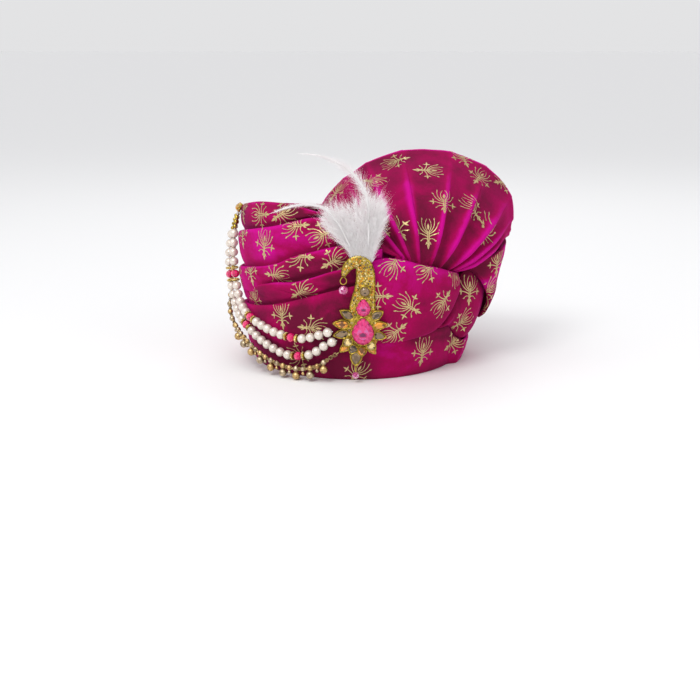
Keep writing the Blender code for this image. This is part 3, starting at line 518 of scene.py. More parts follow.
def gold(name, clean, dark, spread):
    material, tree, shader, place = new_material(name)
    values = {"Place": place, "Clean": clean, "Dark": dark, "Spread": spread}
    wear = new_node(tree, "ShaderNodeGroup", values, node_tree=WEAR)
    fill(tree, shader, {
        "Base Color": wear.outputs["Colour"], "Roughness": wear.outputs["Roughness"],
        "Metallic": 1.0, "Normal": bump(tree, cloud(tree, place, 800.0, 2.0), 0.4, 0.0001)})
    return material


def stone(name, light, deep, through, size, table=None):
    """Cut glass with cloudy colour inside it; a value on each of its facets paints in glints and
    reflections, lightest on the facets that face out.
    """
    material, tree, shader, place = new_material(name)
    tone = mix_values(tree, 0.9, cloud(tree, place, size), read_attribute(tree, "painted_glint"))
    fill(tree, shader, {
        "Base Color": ramp(tree, tone, ((0.2, deep), (0.62, light), (0.85, table or light))),
        "Roughness": 0.04, "IOR": 1.5, "Transmission Weight": through,
        "Coat Weight": 0.15, "Coat Roughness": 0.03})
    return material


def pearl_finish(name, deep, light):
    material, tree, shader, place = new_material(name)
    fill(tree, shader, {
        "Base Color": ramp(tree, cloud(tree, place, 240.0, 2.0), ((0.30, deep), (0.70, light))),
        "Roughness": 0.25, "Metallic": 0.3, "Coat Weight": 1.0, "Coat Roughness": 0.05,
        "Sheen Weight": 0.25, "Sheen Tint": (1.0, 0.86, 0.80)})
    return material


def soft_fibre(name, light, deep, through=0.0):
    material, tree, shader, place = new_material(name)
    colour = ramp(tree, cloud(tree, place, 160.0), ((0.3, deep), (0.7, light)))
    fill(tree, shader, {"Base Color": colour, "Roughness": 0.95, "Specular IOR Level": 0.1,
                        "Sheen Weight": 0.3})
    if through:
        glow = new_node(tree, "ShaderNodeBsdfTranslucent", {"Color": colour})
        both = new_node(tree, "ShaderNodeMixShader",
                        {0: through, 1: shader.outputs[0], 2: glow.outputs[0]})
        fill(tree, tree.nodes["Material Output"], {"Surface": both.outputs[0]})
    return material


VELVET = velvet("printed_velvet", (0.13, 0.006, 0.030), (0.33, 0.002, 0.072),
                (0.52, 0.003, 0.23), 26.0)
CROWN_VELVET = velvet("plain_velvet", (0.25, 0.003, 0.08), (0.40, 0.002, 0.14),
                      (0.55, 0.003, 0.24), 18.0)
FOIL = foil_print("gold_foil_print", (0.66, 0.53, 0.24), (0.30, 0.004, 0.06))
BROOCH_GOLD = gold("brooch_plate", (0.66, 0.48, 0.08), (0.14, 0.085, 0.01), 1.1)
ANTIQUE_GOLD = gold("antique_chain", (0.52, 0.38, 0.18), (0.13, 0.085, 0.04), 1.1)
DROP_GOLD = gold("amber_drops", (0.66, 0.45, 0.20), (0.22, 0.12, 0.04), 1.8)
PINK_STONE = stone("pink_cut_stone", (0.74, 0.02, 0.17), (0.15, 0.012, 0.08), 0.05, 90.0,
                   (0.58, 0.12, 0.34))
AMBER_STONE = stone("amber_stone", (0.84, 0.34, 0.03), (0.15, 0.05, 0.004), 0.05, 300.0)
CLEAR_STONE = stone("champagne_stone", (0.86, 0.66, 0.28), (0.13, 0.07, 0.012), 0.05, 300.0)
SMOKY_STONE = stone("smoky_stone", (0.26, 0.17, 0.09), (0.03, 0.018, 0.01), 0.05, 160.0)
PINK_BEAD = stone("hot_pink_bead", (0.86, 0.015, 0.17), (0.50, 0.004, 0.09), 0.1, 200.0)
PALE_BEAD = stone("rose_bead", (0.66, 0.11, 0.34), (0.46, 0.03, 0.19), 0.35, 200.0)
PEARLS = pearl_finish("pearl_coating", (0.66, 0.58, 0.50), (0.78, 0.71, 0.63))
SMOKY_METAL = gold("smoky_beads", (0.62, 0.50, 0.34), (0.20, 0.14, 0.08), 1.2)
FEATHER = soft_fibre("white_down", (0.98, 0.97, 0.97), (0.92, 0.90, 0.90), 0.5)
LINING = soft_fibre("wound_lining", (0.48, 0.02, 0.16), (0.34, 0.01, 0.11))


# Velvet wraps. A wrap is a grid: columns run round the form, and rows go up its outer face and
# over its fold.

# Upper edges of the left wraps as shares of RIM_HEIGHT
EDGES = (
    # angle, wrap 1, wrap 2, wrap 3, wrap 4, wrap 5
    (-300, 0.800, 0.630, 0.450, 0.290, 0.150),
    (-230, 0.830, 0.650, 0.475, 0.312, 0.170),
    (-180, 0.838, 0.663, 0.488, 0.325, 0.175),
    (-130, 0.880, 0.713, 0.525, 0.388, 0.250),
    (-100, 0.925, 0.763, 0.550, 0.431, 0.319),
    (-80, 0.956, 0.794, 0.575, 0.463, 0.350),
    (-60, 0.994, 0.838, 0.613, 0.500, 0.381),
    (-40, 1.006, 0.888, 0.669, 0.556, 0.431),
    (-30, 1.000, 0.919, 0.719, 0.575, 0.463),
    (-20, 0.981, 0.944, 0.756, 0.613, 0.500),
    (-10, 0.950, 0.930, 0.788, 0.656, 0.538),
    (0, 0.862, 0.850, 0.806, 0.681, 0.568),
    (8, 0.800, 0.790, 0.775, 0.700, 0.594),
)
# The base wrap runs on behind the front wrap and comes out below it
BASE_EDGE = tuple((row[0], row[5]) for row in EDGES if row[0] <= 0) + (
    (5, 0.560), (10, 0.420), (18, 0.270), (30, 0.255), (44, 0.262), (56, 0.256), (63, 0.190),
    (67, 0.150), (90, 0.140), (114, 0.130),
)
WRAP_BACK_END = -292.0
WRAP_FRONT_ENDS = (0.0, 11.0, 13.0, 13.0, 114.0)
FRONT_WRAP_ENDS = (3.0, 62.0)
SIDE_PANEL_ENDS = (47.0, 114.0)
SIDE_FOLD_ENDS = (66.0, 118.0)
SIDE_FOLD_CORNER = 9.0   # how much its far corners are rounded off
SIDE_FOLD_CREASE = 82.0  # angle of its one deep crease, then of its small pleats
SIDE_FOLD_PLEATS = (97.0, 106.0, 113.0)
WRAP_FACE_ROWS = 34      # last grid row of the outer face, below the fold
FRONT_FACE_ROWS = 72
BASE_FOOT = 0.62         # stand-off of the base wrap's foot over FOLD_DEPTH
BASE_BEHIND = (4.0, 10.0, 60.0, 68.0)    # angles where it goes in and out behind the front wrap
BASE_OUT = (6.4, 7.0, 8.8)               # how far its fold, foot and tuck then stand out
JOINED_FOOT = 4.4        # how far the third wrap's foot stands out where the fourth's fold dies
FOURTH_FOLD = ((-300, 1.0), (-130, 1.0), (-100, 0.35), (-60, 0.35), (-40, 1.0), (8, 1.0))
WRAP_LIGHT_AND_PILE = (-0.24, 0.10, 0.04, 0.04, -0.20)    # painted light and shade on each wrap from how it faces the light, and how its pile lies

FRONT_WRAP = (
    # angle, lower edge, upper edge, fullness
    (3.0, 0.230, 0.700, 0.50), (6.4, 0.225, 0.712, 0.62), (14, 0.225, 0.731, 0.75),
    (22, 0.228, 0.716, 0.88), (32, 0.241, 0.675, 0.98), (42, 0.266, 0.638, 1.00),
    (50, 0.335, 0.606, 0.95), (57, 0.425, 0.580, 0.80), (62, 0.495, 0.530, 0.55),
)
SIDE_PANEL = (
    # angle, lower edge, upper edge, inner stand-off over FOLD_DEPTH, fullness
    (47, 0.264, 0.290, 0.09, 0.40), (52, 0.264, 0.340, 0.09, 0.45),
    (57, 0.258, 0.415, 0.09, 0.50), (62.6, 0.215, 0.487, 0.12, 0.60),
    (66, 0.170, 0.575, 0.50, 0.70), (68, 0.160, 0.590, 1.10, 0.80),
    (78, 0.150, 0.640, 1.10, 1.00), (92, 0.148, 0.680, 1.10, 1.00),
    (114, 0.140, 0.670, 1.10, 0.70),
)
SIDE_FOLD = (
    # angle, lower edge, upper edge, fullness
    (66, 0.595, 0.625, 0.36), (70, 0.530, 0.640, 0.62), (75, 0.430, 0.672, 0.84),
    (80, 0.320, 0.700, 0.95), (86, 0.240, 0.712, 1.00), (94, 0.235, 0.728, 1.00),
    (106, 0.250, 0.720, 0.86), (118, 0.290, 0.690, 0.62),
)
SIDE_PROFILE = (
    (0.20, 0.40), (0.24, 0.55), (0.28, 0.68), (0.38, 0.84), (0.47, 0.87), (0.56, 0.92),
    (0.66, 1.00), (0.78, 1.03),
)

clothes = {}             # the velvet grids by name, for the print


def rows_of(controls, per_gap):
    """Smooth rows through control rows, each a height and a stand-off for every angle."""
    values = [np.broadcast_arrays(*pair, controls[0][0])[:2] for pair in controls]
    rows = resample(values, (len(controls) - 1) * per_gap + 1)
    return rows[:, 0].T, rows[:, 1].T


def cloth_piece(name, grid, nap_and_painted_light, nodes):
    """A velvet piece over a grid; the grid is kept for the print."""
    shape = Shape()
    shape.add(grid, grid_faces(*grid.shape[:2]))
    piece = shape.piece(name, [VELVET], attributes={"nap_and_painted_light": nap_and_painted_light})
    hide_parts(*nodes)
    clothes[name] = grid


def ends_rounded(angle, start, end, width, last=None):
    """One along a wrap, falling to nothing at its two ends."""
    near = np.clip(np.minimum((angle - start) / width, (end - angle) / (last or width)), 0.0, 1.0)
    return np.sqrt(1.0 - (1.0 - near) ** 2)


def edge_heights(table, angle):
    return [column(table, angle, number) * RIM_HEIGHT for number in (1, 2)]


def shares_up(height, low, top):
    """How far up its piece each point lies, and a swell that dies out at both edges."""
    share = np.clip((height - low[:, None]) / (top - low)[:, None], 0, 1)
    return share, np.sin(np.pi * np.clip(share, 0.02, 0.98))


def wrinkles(run, height, seed):
    """Soft creases that run round the form, with small crossing dents."""
    return (noise(run / 85.0, height / 11.0 + run / 160.0, seed) * 0.9
            + noise(run / 38.0, height / 5.5 - run / 90.0, seed + 1) * 0.45
            + ripples(run, height, (17.0, 13.0, seed + 2, 0.30), (6.0, 4.0, seed + 3, 0.07)))


def wrap_edge(number, angle):
    return (column(BASE_EDGE, angle) if number == 5 else column(EDGES, angle, number)) * RIM_HEIGHT


def left_wrap(number):
    lowest = number == 5
    start, end = WRAP_BACK_END, WRAP_FRONT_ENDS[number - 1]
    angle = np.linspace(start, end, int((end - start) * 0.95))
    turn = angle[:, None]
    run = np.radians(turn) * WRAP_RADIUS
    top = wrap_edge(number, angle) + noise(run[:, 0] / 45.0, number * 9.0, 40 + number) * 0.6
    bottom = np.zeros_like(top) if lowest else wrap_edge(number + 1, angle)
    keep = column(FOURTH_FOLD, angle) if number == 4 else np.ones_like(top)
    recess = SEAT + (CLOTH + SEAT if number > 1 else 0.0)
    fold = recess + CLOTH + (FOLD_DEPTH - recess - CLOTH) * keep
    foot = FOLD_DEPTH * BASE_FOOT if lowest else SEAT + CLOTH
    joined = np.zeros_like(top)
    if number == 3:
        joined = (1.0 - column(FOURTH_FOLD, angle)) / 0.65
        foot = foot + JOINED_FOOT * joined
    if lowest:
        behind = ease(*BASE_BEHIND[:2], angle) * (1.0 - ease(*BASE_BEHIND[2:], angle))
        side = ease(62.0, 68.0, angle)
        fold = fold * (1 - 0.30 * behind) + side * BASE_OUT[0]
        foot = foot + side * BASE_OUT[1]
        recess = recess + side * BASE_OUT[2]
    rise = top - bottom
    height, stand_off = rows_of([
        (bottom - (0.0 if lowest else TAIL), foot - (1.6 if lowest else 1.3 * joined)),
        (bottom + 0.03 * rise, foot + 0.1),
        (bottom + 0.24 * rise, foot + 0.50 * (fold - foot)),
        (bottom + 0.52 * rise, foot + 0.86 * (fold - foot)),
        (top - 0.16 * rise - 1.2, fold),
        (top - 1.3, fold - 0.5),
        (top, fold - 2.2),
        (top - 1.2, np.minimum(recess + 0.5, fold - 3.2)),
        (top - TAIL, np.minimum(recess, fold - 3.4)),
    ], 6)
    height = np.maximum(height, GROUND_GAP)
    share, swell = shares_up(height, bottom, top)
    on_face = (np.arange(height.shape[1]) <= WRAP_FACE_ROWS)[None] * swell
    gather = 0.55 + 0.9 * ease(-70.0, -5.0, turn) * (turn < 6)
    creases = wrinkles(run, height, 60 + 7 * number) * 1.15 * gather * on_face
    pinch = np.abs(noise(run / 140.0, height / 7.0 + run / 55.0, 90 + number))
    creases -= (0.25 - np.minimum(pinch, 0.25)) * 3.2 * on_face * gather
    round_end = ends_rounded(turn, start - 5.0, end, 3.0, 12.0 if number == 1 else 3.0)
    stand_off = SEAT + (stand_off + creases - SEAT) * (0.3 + 0.7 * round_end)
    # Painted light: a highlight along the rolled fold at the top, raised creases lighter and hollows
    # darker, and painted shade at the foot where the wrap goes in under the one below
    roll = bell(share, 0.97, 0.06)
    nap_and_painted_light = 0.5 + WRAP_LIGHT_AND_PILE[number - 1] + 0.30 * roll + 0.16 * creases
    nap_and_painted_light -= 0.30 * bell(share, 0.0, 0.16) * (1.0 - joined[:, None])
    if lowest:
        # Where the base wrap goes in behind the front wrap, its fold's painted highlight is taken off and
        # painted shadow falls under the front wrap's lower edge
        shaded_under_front_wrap = ease(14.0, 30.0, turn) * (turn < 68.0)
        nap_and_painted_light += 0.20 * ease(6.0, 16.0, turn) - 0.62 * roll * shaded_under_front_wrap
        nap_and_painted_light -= 0.30 * bell(share, 0.80, 0.16) * shaded_under_front_wrap
    nap_and_painted_light += 0.18 * noise(run / 52.0, height / 20.0, 130 + number)
    nap_and_painted_light -= 0.14 * ease(-40.0, 0.0, turn) * (turn < 8)
    if number == 1:
        # A painted highlight: a bright patch high on the first wrap near its front end
        nap_and_painted_light += 0.55 * bell(turn, -22.0, 4.5) * ease(0.35, 0.75, share)
    names = ["left_wrap_5", "lower_wrap"] if lowest else [f"left_wrap_{number}"]
    cloth_piece(f"velvet_wrap_{number}", on_form(turn, height, stand_off), nap_and_painted_light, names)


def front_wrap():
    angle = np.linspace(*FRONT_WRAP_ENDS, 130)
    turn = angle[:, None]
    run = np.radians(turn) * FRONT_RADIUS
    low, top = edge_heights(FRONT_WRAP, angle)
    top = top + noise(run[:, 0] / 30.0, 3.0, 77) * 0.5
    full = column(FRONT_WRAP, angle, 3) * FRONT_BULGE
    rise = top - low
    pocket = FAN_CLOTH + 5.5 * SEAT
    height, stand_off = rows_of([
        (low + 5.0, 1.5), (low + 0.5, 0.20 * full), (low, 0.55 * full),
        (low + 0.08 * rise, 0.86 * full), (low + 0.30 * rise, full),
        (low + 0.62 * rise, 0.97 * full), (top - 0.12 * rise, 0.83 * full),
        (top - 0.02 * rise, 0.66 * full), (top, 0.5 * full + 0.5 * pocket),
        (top - 1.6, pocket + 0.3), (top - 9.0, pocket - 1.0),
    ], 8)
    share, swell = shares_up(height, low, top)
    creases = ripples(run, height + run * 0.25, (60.0, 24.0, 31, 1.1), (26.0, 12.0, 32, 0.42),
                      (8.0, 6.0, 33, 0.10))
    # One shallow crease falls from the upper edge towards the right end
    line = share - (0.80 - 0.0085 * (turn - 30.0))
    creases -= 1.3 * bell(line, 0.0, 0.05) * ease(34.0, 46.0, turn)
    on_face = (np.arange(height.shape[1]) <= FRONT_FACE_ROWS)[None] * swell
    stand_off = 1.0 + (stand_off + creases * on_face - 1.0) * ends_rounded(turn, *FRONT_WRAP_ENDS, 4.0)
    # Painted highlight along the upper edge, painted shade at the foot, and raised creases painted
    # lighter and hollows darker
    nap_and_painted_light = 0.56 + 0.26 * bell(share, 0.98, 0.09) - 0.14 * bell(share, 0.0, 0.14) + 0.12 * creases
    nap_and_painted_light += 0.16 * noise(run / 34.0, height / 22.0, 35) - 0.12 * (1 - ease(10.0, 22.0, turn))
    cloth_piece("velvet_front_wrap", on_form(turn, height, stand_off), nap_and_painted_light, ["front_wrap"])


def panel_stand_off(angle, share):
    inside = column(SIDE_PANEL, angle, 3) * FOLD_DEPTH
    full = column(SIDE_PANEL, angle, 4) * PANEL_BULGE
    edge = inside + CLOTH
    swell = np.sin(np.pi * np.clip(share, 0, 1)) ** 0.62 * (1.0 - 0.8 * ease(102.0, 114.0, angle))
    return edge + np.maximum(0.0, full - edge) * swell


def side_panel():
    angle = np.linspace(*SIDE_PANEL_ENDS, 120)
    turn = angle[:, None]
    run = np.radians(turn) * PANEL_RADIUS
    low, top = edge_heights(SIDE_PANEL, angle)
    inside = column(SIDE_PANEL, angle, 3) * FOLD_DEPTH
    shares = (0.0, 0.04, 0.15, 0.38, 0.62, 0.85, 0.96, 1.0)
    controls = [(low + (top - low) * share, panel_stand_off(angle, share)) for share in shares]
    tucks = [(low + (top - low) * share, inside + 0.3) for share in (0.03, 0.97)]
    height, stand_off = rows_of(tucks[:1] + controls + tucks[1:], 7)
    share, swell = shares_up(height, low, top)
    creases = noise(run / 14.0 - height / 30.0, height / 55.0, 51) * 0.9
    creases += noise(run / 6.0, height / 26.0, 52) * 0.30
    seat = inside[:, None]
    stand_off = seat + (stand_off + creases * swell - seat) * ends_rounded(turn, *SIDE_PANEL_ENDS, 3.0)
    # Raised creases painted lighter and their hollows darker
    nap_and_painted_light = 0.38 + 0.14 * creases + 0.2 * noise(run / 30.0, height / 26.0, 53)
    # Painted shade where the panel goes in under the front wrap
    under = column(FRONT_WRAP, np.minimum(turn, 62.0), 1) * RIM_HEIGHT
    gap = np.hypot(np.maximum(0.0, under - height), np.maximum(0.0, turn - 61.0) * 2.1)
    nap_and_painted_light -= 0.75 * bell(gap, 0.0, 4.5)
    cloth_piece("velvet_side_panel", on_form(turn, height, stand_off), nap_and_painted_light, ["side_panel"])


def side_fold():
    start, end = SIDE_FOLD_ENDS
    angle = np.linspace(start, end, 120)
    turn = angle[:, None]
    low, top = edge_heights(SIDE_FOLD, angle)
    corner = SIDE_FOLD_CORNER * (1.0 - ends_rounded(angle, start - 90.0, end, 9.0))
    low = low + corner
    top = top - corner
    full = column(SIDE_FOLD, angle, 3) * SIDE_REACH
    panel_low, panel_top = edge_heights(SIDE_PANEL, angle)
    outer = []
    inner = []
    for share in (0.0, 0.04, 0.15, 0.32, 0.50, 0.68, 0.84, 0.95, 1.0):
        height = low + (top - low) * share
        reach = column(SIDE_PROFILE, height / RIM_HEIGHT) * full
        least = panel_stand_off(angle, (height - panel_low) / (panel_top - panel_low)) + 0.4
        thickness = SIDE_CLOTH * (0.5 if share in (0.0, 1.0) else 1.0)
        inside = np.maximum(least, reach - thickness)
        outer.append((height, np.maximum(reach, inside + thickness)))
        inner.append((height, inside))
    height, stand_off = rows_of(inner[2:0:-1] + outer + inner[-2:-4:-1], 7)
    share, swell = shares_up(height, low, top)
    fall = turn + (1.0 - share) * 10.0
    creases = ripples(fall, height, (7.0, 60.0, 61, 1.5), (3.2, 40.0, 62, 0.5))
    crease_line = bell(fall, SIDE_FOLD_CREASE, 2.2)
    creases = creases * (0.4 + 0.6 * ease(70.0, 80.0, turn)) + crease_line * 1.6
    creases += 1.3 * sum(bell(fall, middle, 1.7) for middle in SIDE_FOLD_PLEATS)
    base = np.minimum(stand_off, panel_stand_off(angle, 0.5)[:, None] + 0.6)
    round_end = ends_rounded(turn, start - 1.0, end, 3.5, 11.0)
    stand_off = base + (stand_off + creases * swell - base) * round_end
    # Raised creases painted lighter and hollows darker, with a painted highlight along the deep crease
    nap_and_painted_light = 0.24 + 0.14 * creases + 0.55 * crease_line + 0.20 * ease(94.0, 106.0, turn)
    nap_and_painted_light += 0.2 * noise(np.radians(turn) * FOLD_RADIUS / 24.0, height / 30.0, 63)
    cloth_piece("velvet_side_fold", on_form(turn, height, stand_off), nap_and_painted_light, ["side_fold"])


# The fan

FAN_NECK = 0.06
FAN = (
    # place, root angle, ray, reach, sweep
    (0.00, 19, 162.0, 0.72, 1.06), (0.10, 21, 147.0, 0.73, 1.10), (0.22, 24, 128.0, 0.76, 1.10),
    (0.34, 28, 110.0, 0.82, 1.08), (0.46, 33, 92.0, 0.88, 1.02), (0.58, 39, 72.0, 0.92, 0.95),
    (0.70, 46, 53.0, 0.92, 0.86), (0.80, 51, 39.0, 0.84, 0.78), (0.90, 54, 28.0, 0.71, 0.72),
    (1.00, 57, 22.0, 0.62, 0.68),
)
FAN_CRESTS = (0.19, 0.30, 0.43, 0.57, 0.67, 0.79, 0.88, 0.96)
FAN_COLUMNS = 300


def fan_gather(place, rise):
    angle = column(FAN, place, 1)
    table = FRONT_WRAP[1:]
    height = column(table, angle, 2) * RIM_HEIGHT - FAN_TUCK + rise
    return on_form(angle, height, 2 * SEAT + FAN_CLOTH / 2)


def fan_face(place, out):
    """Middle surface of the fan for arrays of places and ways out."""
    neck = np.clip(out / FAN_NECK, 0, 1)
    gather = fan_gather(place, FAN_TUCK + 1.5)
    root = fan_gather(place, np.zeros_like(place))
    out = np.clip((out - FAN_NECK) / (1 - FAN_NECK), 0, None)
    ray = np.radians(column(FAN, place, 2))
    reach = column(FAN, place, 3) * FAN_REACH * out
    sweep = column(FAN, place, 4) * FAN_SWEEP * out ** 2
    swell = FAN_BULGE * np.sin(np.pi * np.clip(out, 0, 1))
    face = np.stack([
        gather[..., 0] + reach * np.cos(ray),
        gather[..., 1] + sweep - swell,
        gather[..., 2] + reach * np.sin(ray),
    ], -1)
    return np.where(neck[..., None] < 1, root + (gather - root) * neck[..., None], face)


def pleat(place, out):
    """Height of the pleats, each rising gently from the left and dropping behind its crest, and a mask
    along the crests where a highlight is painted.
    """
    edges = (0.10,) + FAN_CRESTS + (1.04,)
    rise = np.zeros_like(place)
    painted_ridge_highlight = np.zeros_like(place)
    for left, crest in zip(edges, edges[1:]):
        inside = (place >= left) & (place < crest)
        t = np.clip((place - left) / (crest - left), 0, 1)
        body = -0.62 * np.sin(np.pi * np.clip(t * 1.15, 0, 1)) + 0.9 * t ** 5
        rise = np.where(inside, body, rise)
    for number, crest in enumerate(FAN_CRESTS):
        bulge = bell(place, crest, 0.010 + 0.006 * (number % 3))
        painted_ridge_highlight = np.maximum(painted_ridge_highlight, bulge)
        rise += bulge * 0.75
    open_out = np.clip(out * 3.0, 0, 1) * (1.0 - 0.50 * out)
    deep = open_out * (1.0 - 0.80 * ease(0.62, 1.0, out))
    return rise * PLEAT_DEPTH * deep, painted_ridge_highlight * (1.0 - 0.6 * ease(0.55, 0.95, out))


def fan():
    front = np.concatenate([np.linspace(0, FAN_NECK, 5), np.linspace(FAN_NECK, 1.0, 96)[1:]])
    across, out = np.meshgrid(np.linspace(0, 1, FAN_COLUMNS), front, indexing="ij")
    middle = fan_face(across, out)
    height, painted_ridge_highlight = pleat(across, out)
    run = across * FAN_ARC
    small = noise(run / 9.0, out * 1.6, 71) * 0.9 * (1 - 0.5 * out)
    small += noise(run / 4.0, out * 2.5, 72) * 0.35 * np.clip(1.2 - out, 0, 1)
    small += noise(run / 30.0, out * 5.0, 73) * 0.8 * out
    small *= np.clip(out * 4.0, 0, 1)
    face = middle + normals(middle) * (height + small)[..., None]
    thick = FAN_CLOTH / 2
    outward = normals(face)
    turns = np.radians(np.linspace(90, -90, 13))[None, :, None]
    along = unit(face[:, -1] - face[:, -4])[:, None]
    roll = (face[:, -1:] + along * np.cos(turns) * FAN_ROLL
            + outward[:, -4][:, None] * np.sin(turns) * FAN_ROLL)
    swell = outward * (thick + (FAN_ROLL - thick) * ease(0.93, 1.0, out))[..., None]
    grid = np.concatenate([(face + swell)[:, :-1], roll, (face - swell)[:, ::-3][:, 1:]], axis=1)
    # Painted highlights along the pleat crests and on raised pleats and wrinkles, and a strong one on the
    # rolled rim; lighter towards the outer edge; the inner side is one plain tone
    nap_and_painted_light = np.concatenate([
        (0.20 + 0.66 * painted_ridge_highlight ** 2.2 * (0.45 + 0.55 * out) + 0.05 * height + 0.10 * small
         + 0.16 * noise(run / 42.0, out * 3.2, 75) + 0.10 * ease(0.2, 0.9, out))[:, :-1],
        np.full((FAN_COLUMNS, turns.size), 1.15),
        (0.45 + 0.12 * noise(run / 30.0, out * 3.0, 76))[:, ::-3][:, 1:],
    ], axis=1)
    cloth_piece("velvet_fan", grid, nap_and_painted_light, ["fan"])


def crown_form():
    """The wound form: smooth wall, softly gathered dome, flat rim below and an open hollow."""
    sectors = CROWN_SECTORS
    turn = round_turn(sectors)
    rise = CROWN_HEIGHT - CROWN_SHOULDER
    shoulder = float(skin_share(CROWN_SHOULDER))

    def wall(top, inset):
        return [(z, float(skin_share(z)), inset, 0.0) for z in np.linspace(0, top, 12)]

    def dome(level, first, count, inset, gathered):
        return [(level + rise * h, shoulder * float(column(CROWN, h)), inset * (1 - h), gathered)
                for h in np.linspace(first, 0.995, count)]

    outer = (wall(CROWN_SHOULDER, 0.0) + dome(CROWN_SHOULDER, 0.05, 26, 0.0, 1.0))[::-1]
    inner = wall(100.0, FORM_WALL) + dome(CROWN_SHOULDER - CROWN_WALL, 0.0, 22, FORM_WALL, 0.0)
    grid = []
    nap_and_painted_light = []
    for z, share, inset, gathered in outer + inner:
        radial = noise(turn * 9.0, share * 1.6, 81) * 1.5 + noise(turn * 22.0, share * 2.2, 82) * 0.7
        fold = radial * gathered * min(1.0, share * 1.6)
        x = (FORM_HALF_WIDTH * share - inset) * np.sin(turn)
        y = -(FORM_HALF_DEPTH * share - inset) * np.cos(turn)
        grid.append(np.stack([x, y, z + fold], -1))
        # Raised gathers painted lighter and their hollows darker
        nap_and_painted_light += list(0.55 + 0.16 * fold)
    shape = Shape()
    faces = grid_faces(len(grid), sectors, False, True)
    shape.add(grid, faces)
    outer_faces = (len(outer) - 1) * sectors
    shape.finish = [int(k >= outer_faces) for k in range(len(faces))]
    for level, ring, step in ((CROWN_HEIGHT, 0, 1), (CROWN_HEIGHT - CROWN_WALL, len(grid) - 1, -1)):
        tip = shape.count
        shape.points.append(np.array([[0.0, 0.0, level]]))
        shape.count += 1
        for k in range(sectors):
            pair = (ring * sectors + k, ring * sectors + (k + 1) % sectors)
            shape.faces.append((tip,) + pair[::step])
            shape.finish.append(int(ring > 0))
    take_place(shape, "crown_form", [CROWN_VELVET, LINING], "crown_cap",
               attributes={"nap_and_painted_light": nap_and_painted_light + [0.55, 0.5]})


crown_form()
for wrap_number in range(1, 6):
    left_wrap(wrap_number)
front_wrap()
side_panel()
side_fold()
fan()


# Camera, from which the motifs' places were read: distances in millimetres, sizes in pixels

PHOTO_SIZE = 700
FOCAL_PIXELS = 1300.0
CAMERA_PLACE = np.array([0.0, -1280.25, 305.74])
CAMERA_DOWN = 13.3435
CAMERA_TURN = 0.2266
SENSOR = 36.0

camera = bpy.data.objects.new("camera", bpy.data.cameras.new("camera"))
camera.data.sensor_width = SENSOR
camera.data.lens = FOCAL_PIXELS / PHOTO_SIZE * SENSOR
camera.data.clip_start = 0.05
camera.data.clip_end = 50.0
camera.location = CENTRE + CAMERA_PLACE * MM
camera.rotation_euler = (math.radians(90 - CAMERA_DOWN), 0.0, math.radians(CAMERA_TURN))
bpy.context.scene.collection.objects.link(camera)
bpy.context.scene.camera = camera
CAMERA_AXES = np.array(camera.rotation_euler.to_matrix())


def photo_place(points):
    """Where points in millimetres fall in the photo, in pixels across and down."""
    local = (points - CAMERA_PLACE) @ CAMERA_AXES
    depth = -local[..., 2]
    return [PHOTO_SIZE / 2 + FOCAL_PIXELS * way * local[..., axis] / depth
            for axis, way in ((0, 1), (1, -1))]


# Foil print. The motif is a traditional spray: a bud on a short stem, pairs of arms that curl
# forward, and a small leaf between them. It is drawn along +x in shares of MOTIF; every row is
# mirrored.

def bend(start, middle, end, steps):
    t = np.linspace(0, 1, steps + 1)[:, None]
    start, middle, end = (np.array(p, float) for p in (start, middle, end))
    return start * (1 - t) ** 2 + middle * 2 * t * (1 - t) + end * t ** 2


STROKES = (
    # start, middle, end, width at the start, width at the end
    ((-0.30, 0.01), (-0.16, 0.03), (0.02, 0.02), 0.050, 0.048),
    ((-0.22, 0.02), (-0.16, 0.12), (-0.25, 0.20), 0.040, 0.024),
    ((-0.14, 0.02), (-0.07, 0.14), (-0.05, 0.27), 0.044, 0.036),
    ((-0.05, 0.03), (0.02, 0.23), (0.25, 0.30), 0.046, 0.024),
    ((-0.01, 0.03), (0.13, 0.22), (0.39, 0.19), 0.044, 0.026),
    ((0.02, 0.02), (0.21, 0.16), (0.43, 0.03), 0.038, 0.020),
)
LEAVES = (
    # middle, direction, length, width
    ((-0.05, 0.35), 90, 0.17, 0.090), ((-0.11, 0.31), 165, 0.12, 0.062),
    ((0.01, 0.31), 15, 0.12, 0.062), ((-0.27, 0.22), 120, 0.08, 0.058),
    ((0.28, 0.315), 35, 0.10, 0.062), ((0.42, 0.185), 0, 0.09, 0.055),
    ((-0.335, 0.055), 150, 0.12, 0.070),
)
MIDDLE_LEAVES = (((-0.40, 0.0), 180, 0.22, 0.120), ((0.17, 0.0), 0, 0.20, 0.105))
LEAF_SHAPE = ((0.0, 0.15), (0.25, 0.85), (0.5, 1.0), (0.75, 0.62), (1.0, 0.05))


def leaf_strip(middle, degrees, length, width):
    turn = math.radians(degrees)
    shape = np.array(LEAF_SHAPE)
    run = np.array([math.cos(turn), math.sin(turn)])
    return np.array(middle) + run * (shape[:, :1] - 0.5) * length, shape[:, 1] * width


def motif_strips():
    """Every stroke and leaf of the motif as a path with its widths."""
    strips = [(bend(start, middle, end, 7), np.linspace(first, last, 8))
              for start, middle, end, first, last in STROKES]
    strips += [leaf_strip(*leaf) for leaf in LEAVES]
    both = [(path * (1, sign), widths) for path, widths in strips for sign in (1, -1)]
    return both + [leaf_strip(*leaf) for leaf in MIDDLE_LEAVES]


MOTIF_STRIPS = motif_strips()


def sample(values, i, j):
    """Grid values between grid points."""
    i0 = np.clip(np.floor(i).astype(int), 0, values.shape[0] - 2)
    j0 = np.clip(np.floor(j).astype(int), 0, values.shape[1] - 2)
    fi = (i - i0)[..., None]
    fj = (j - j0)[..., None]
    return ((values[i0, j0] * (1 - fi) + values[i0 + 1, j0] * fi) * (1 - fj)
            + (values[i0, j0 + 1] * (1 - fi) + values[i0 + 1, j0 + 1] * fi) * fj)


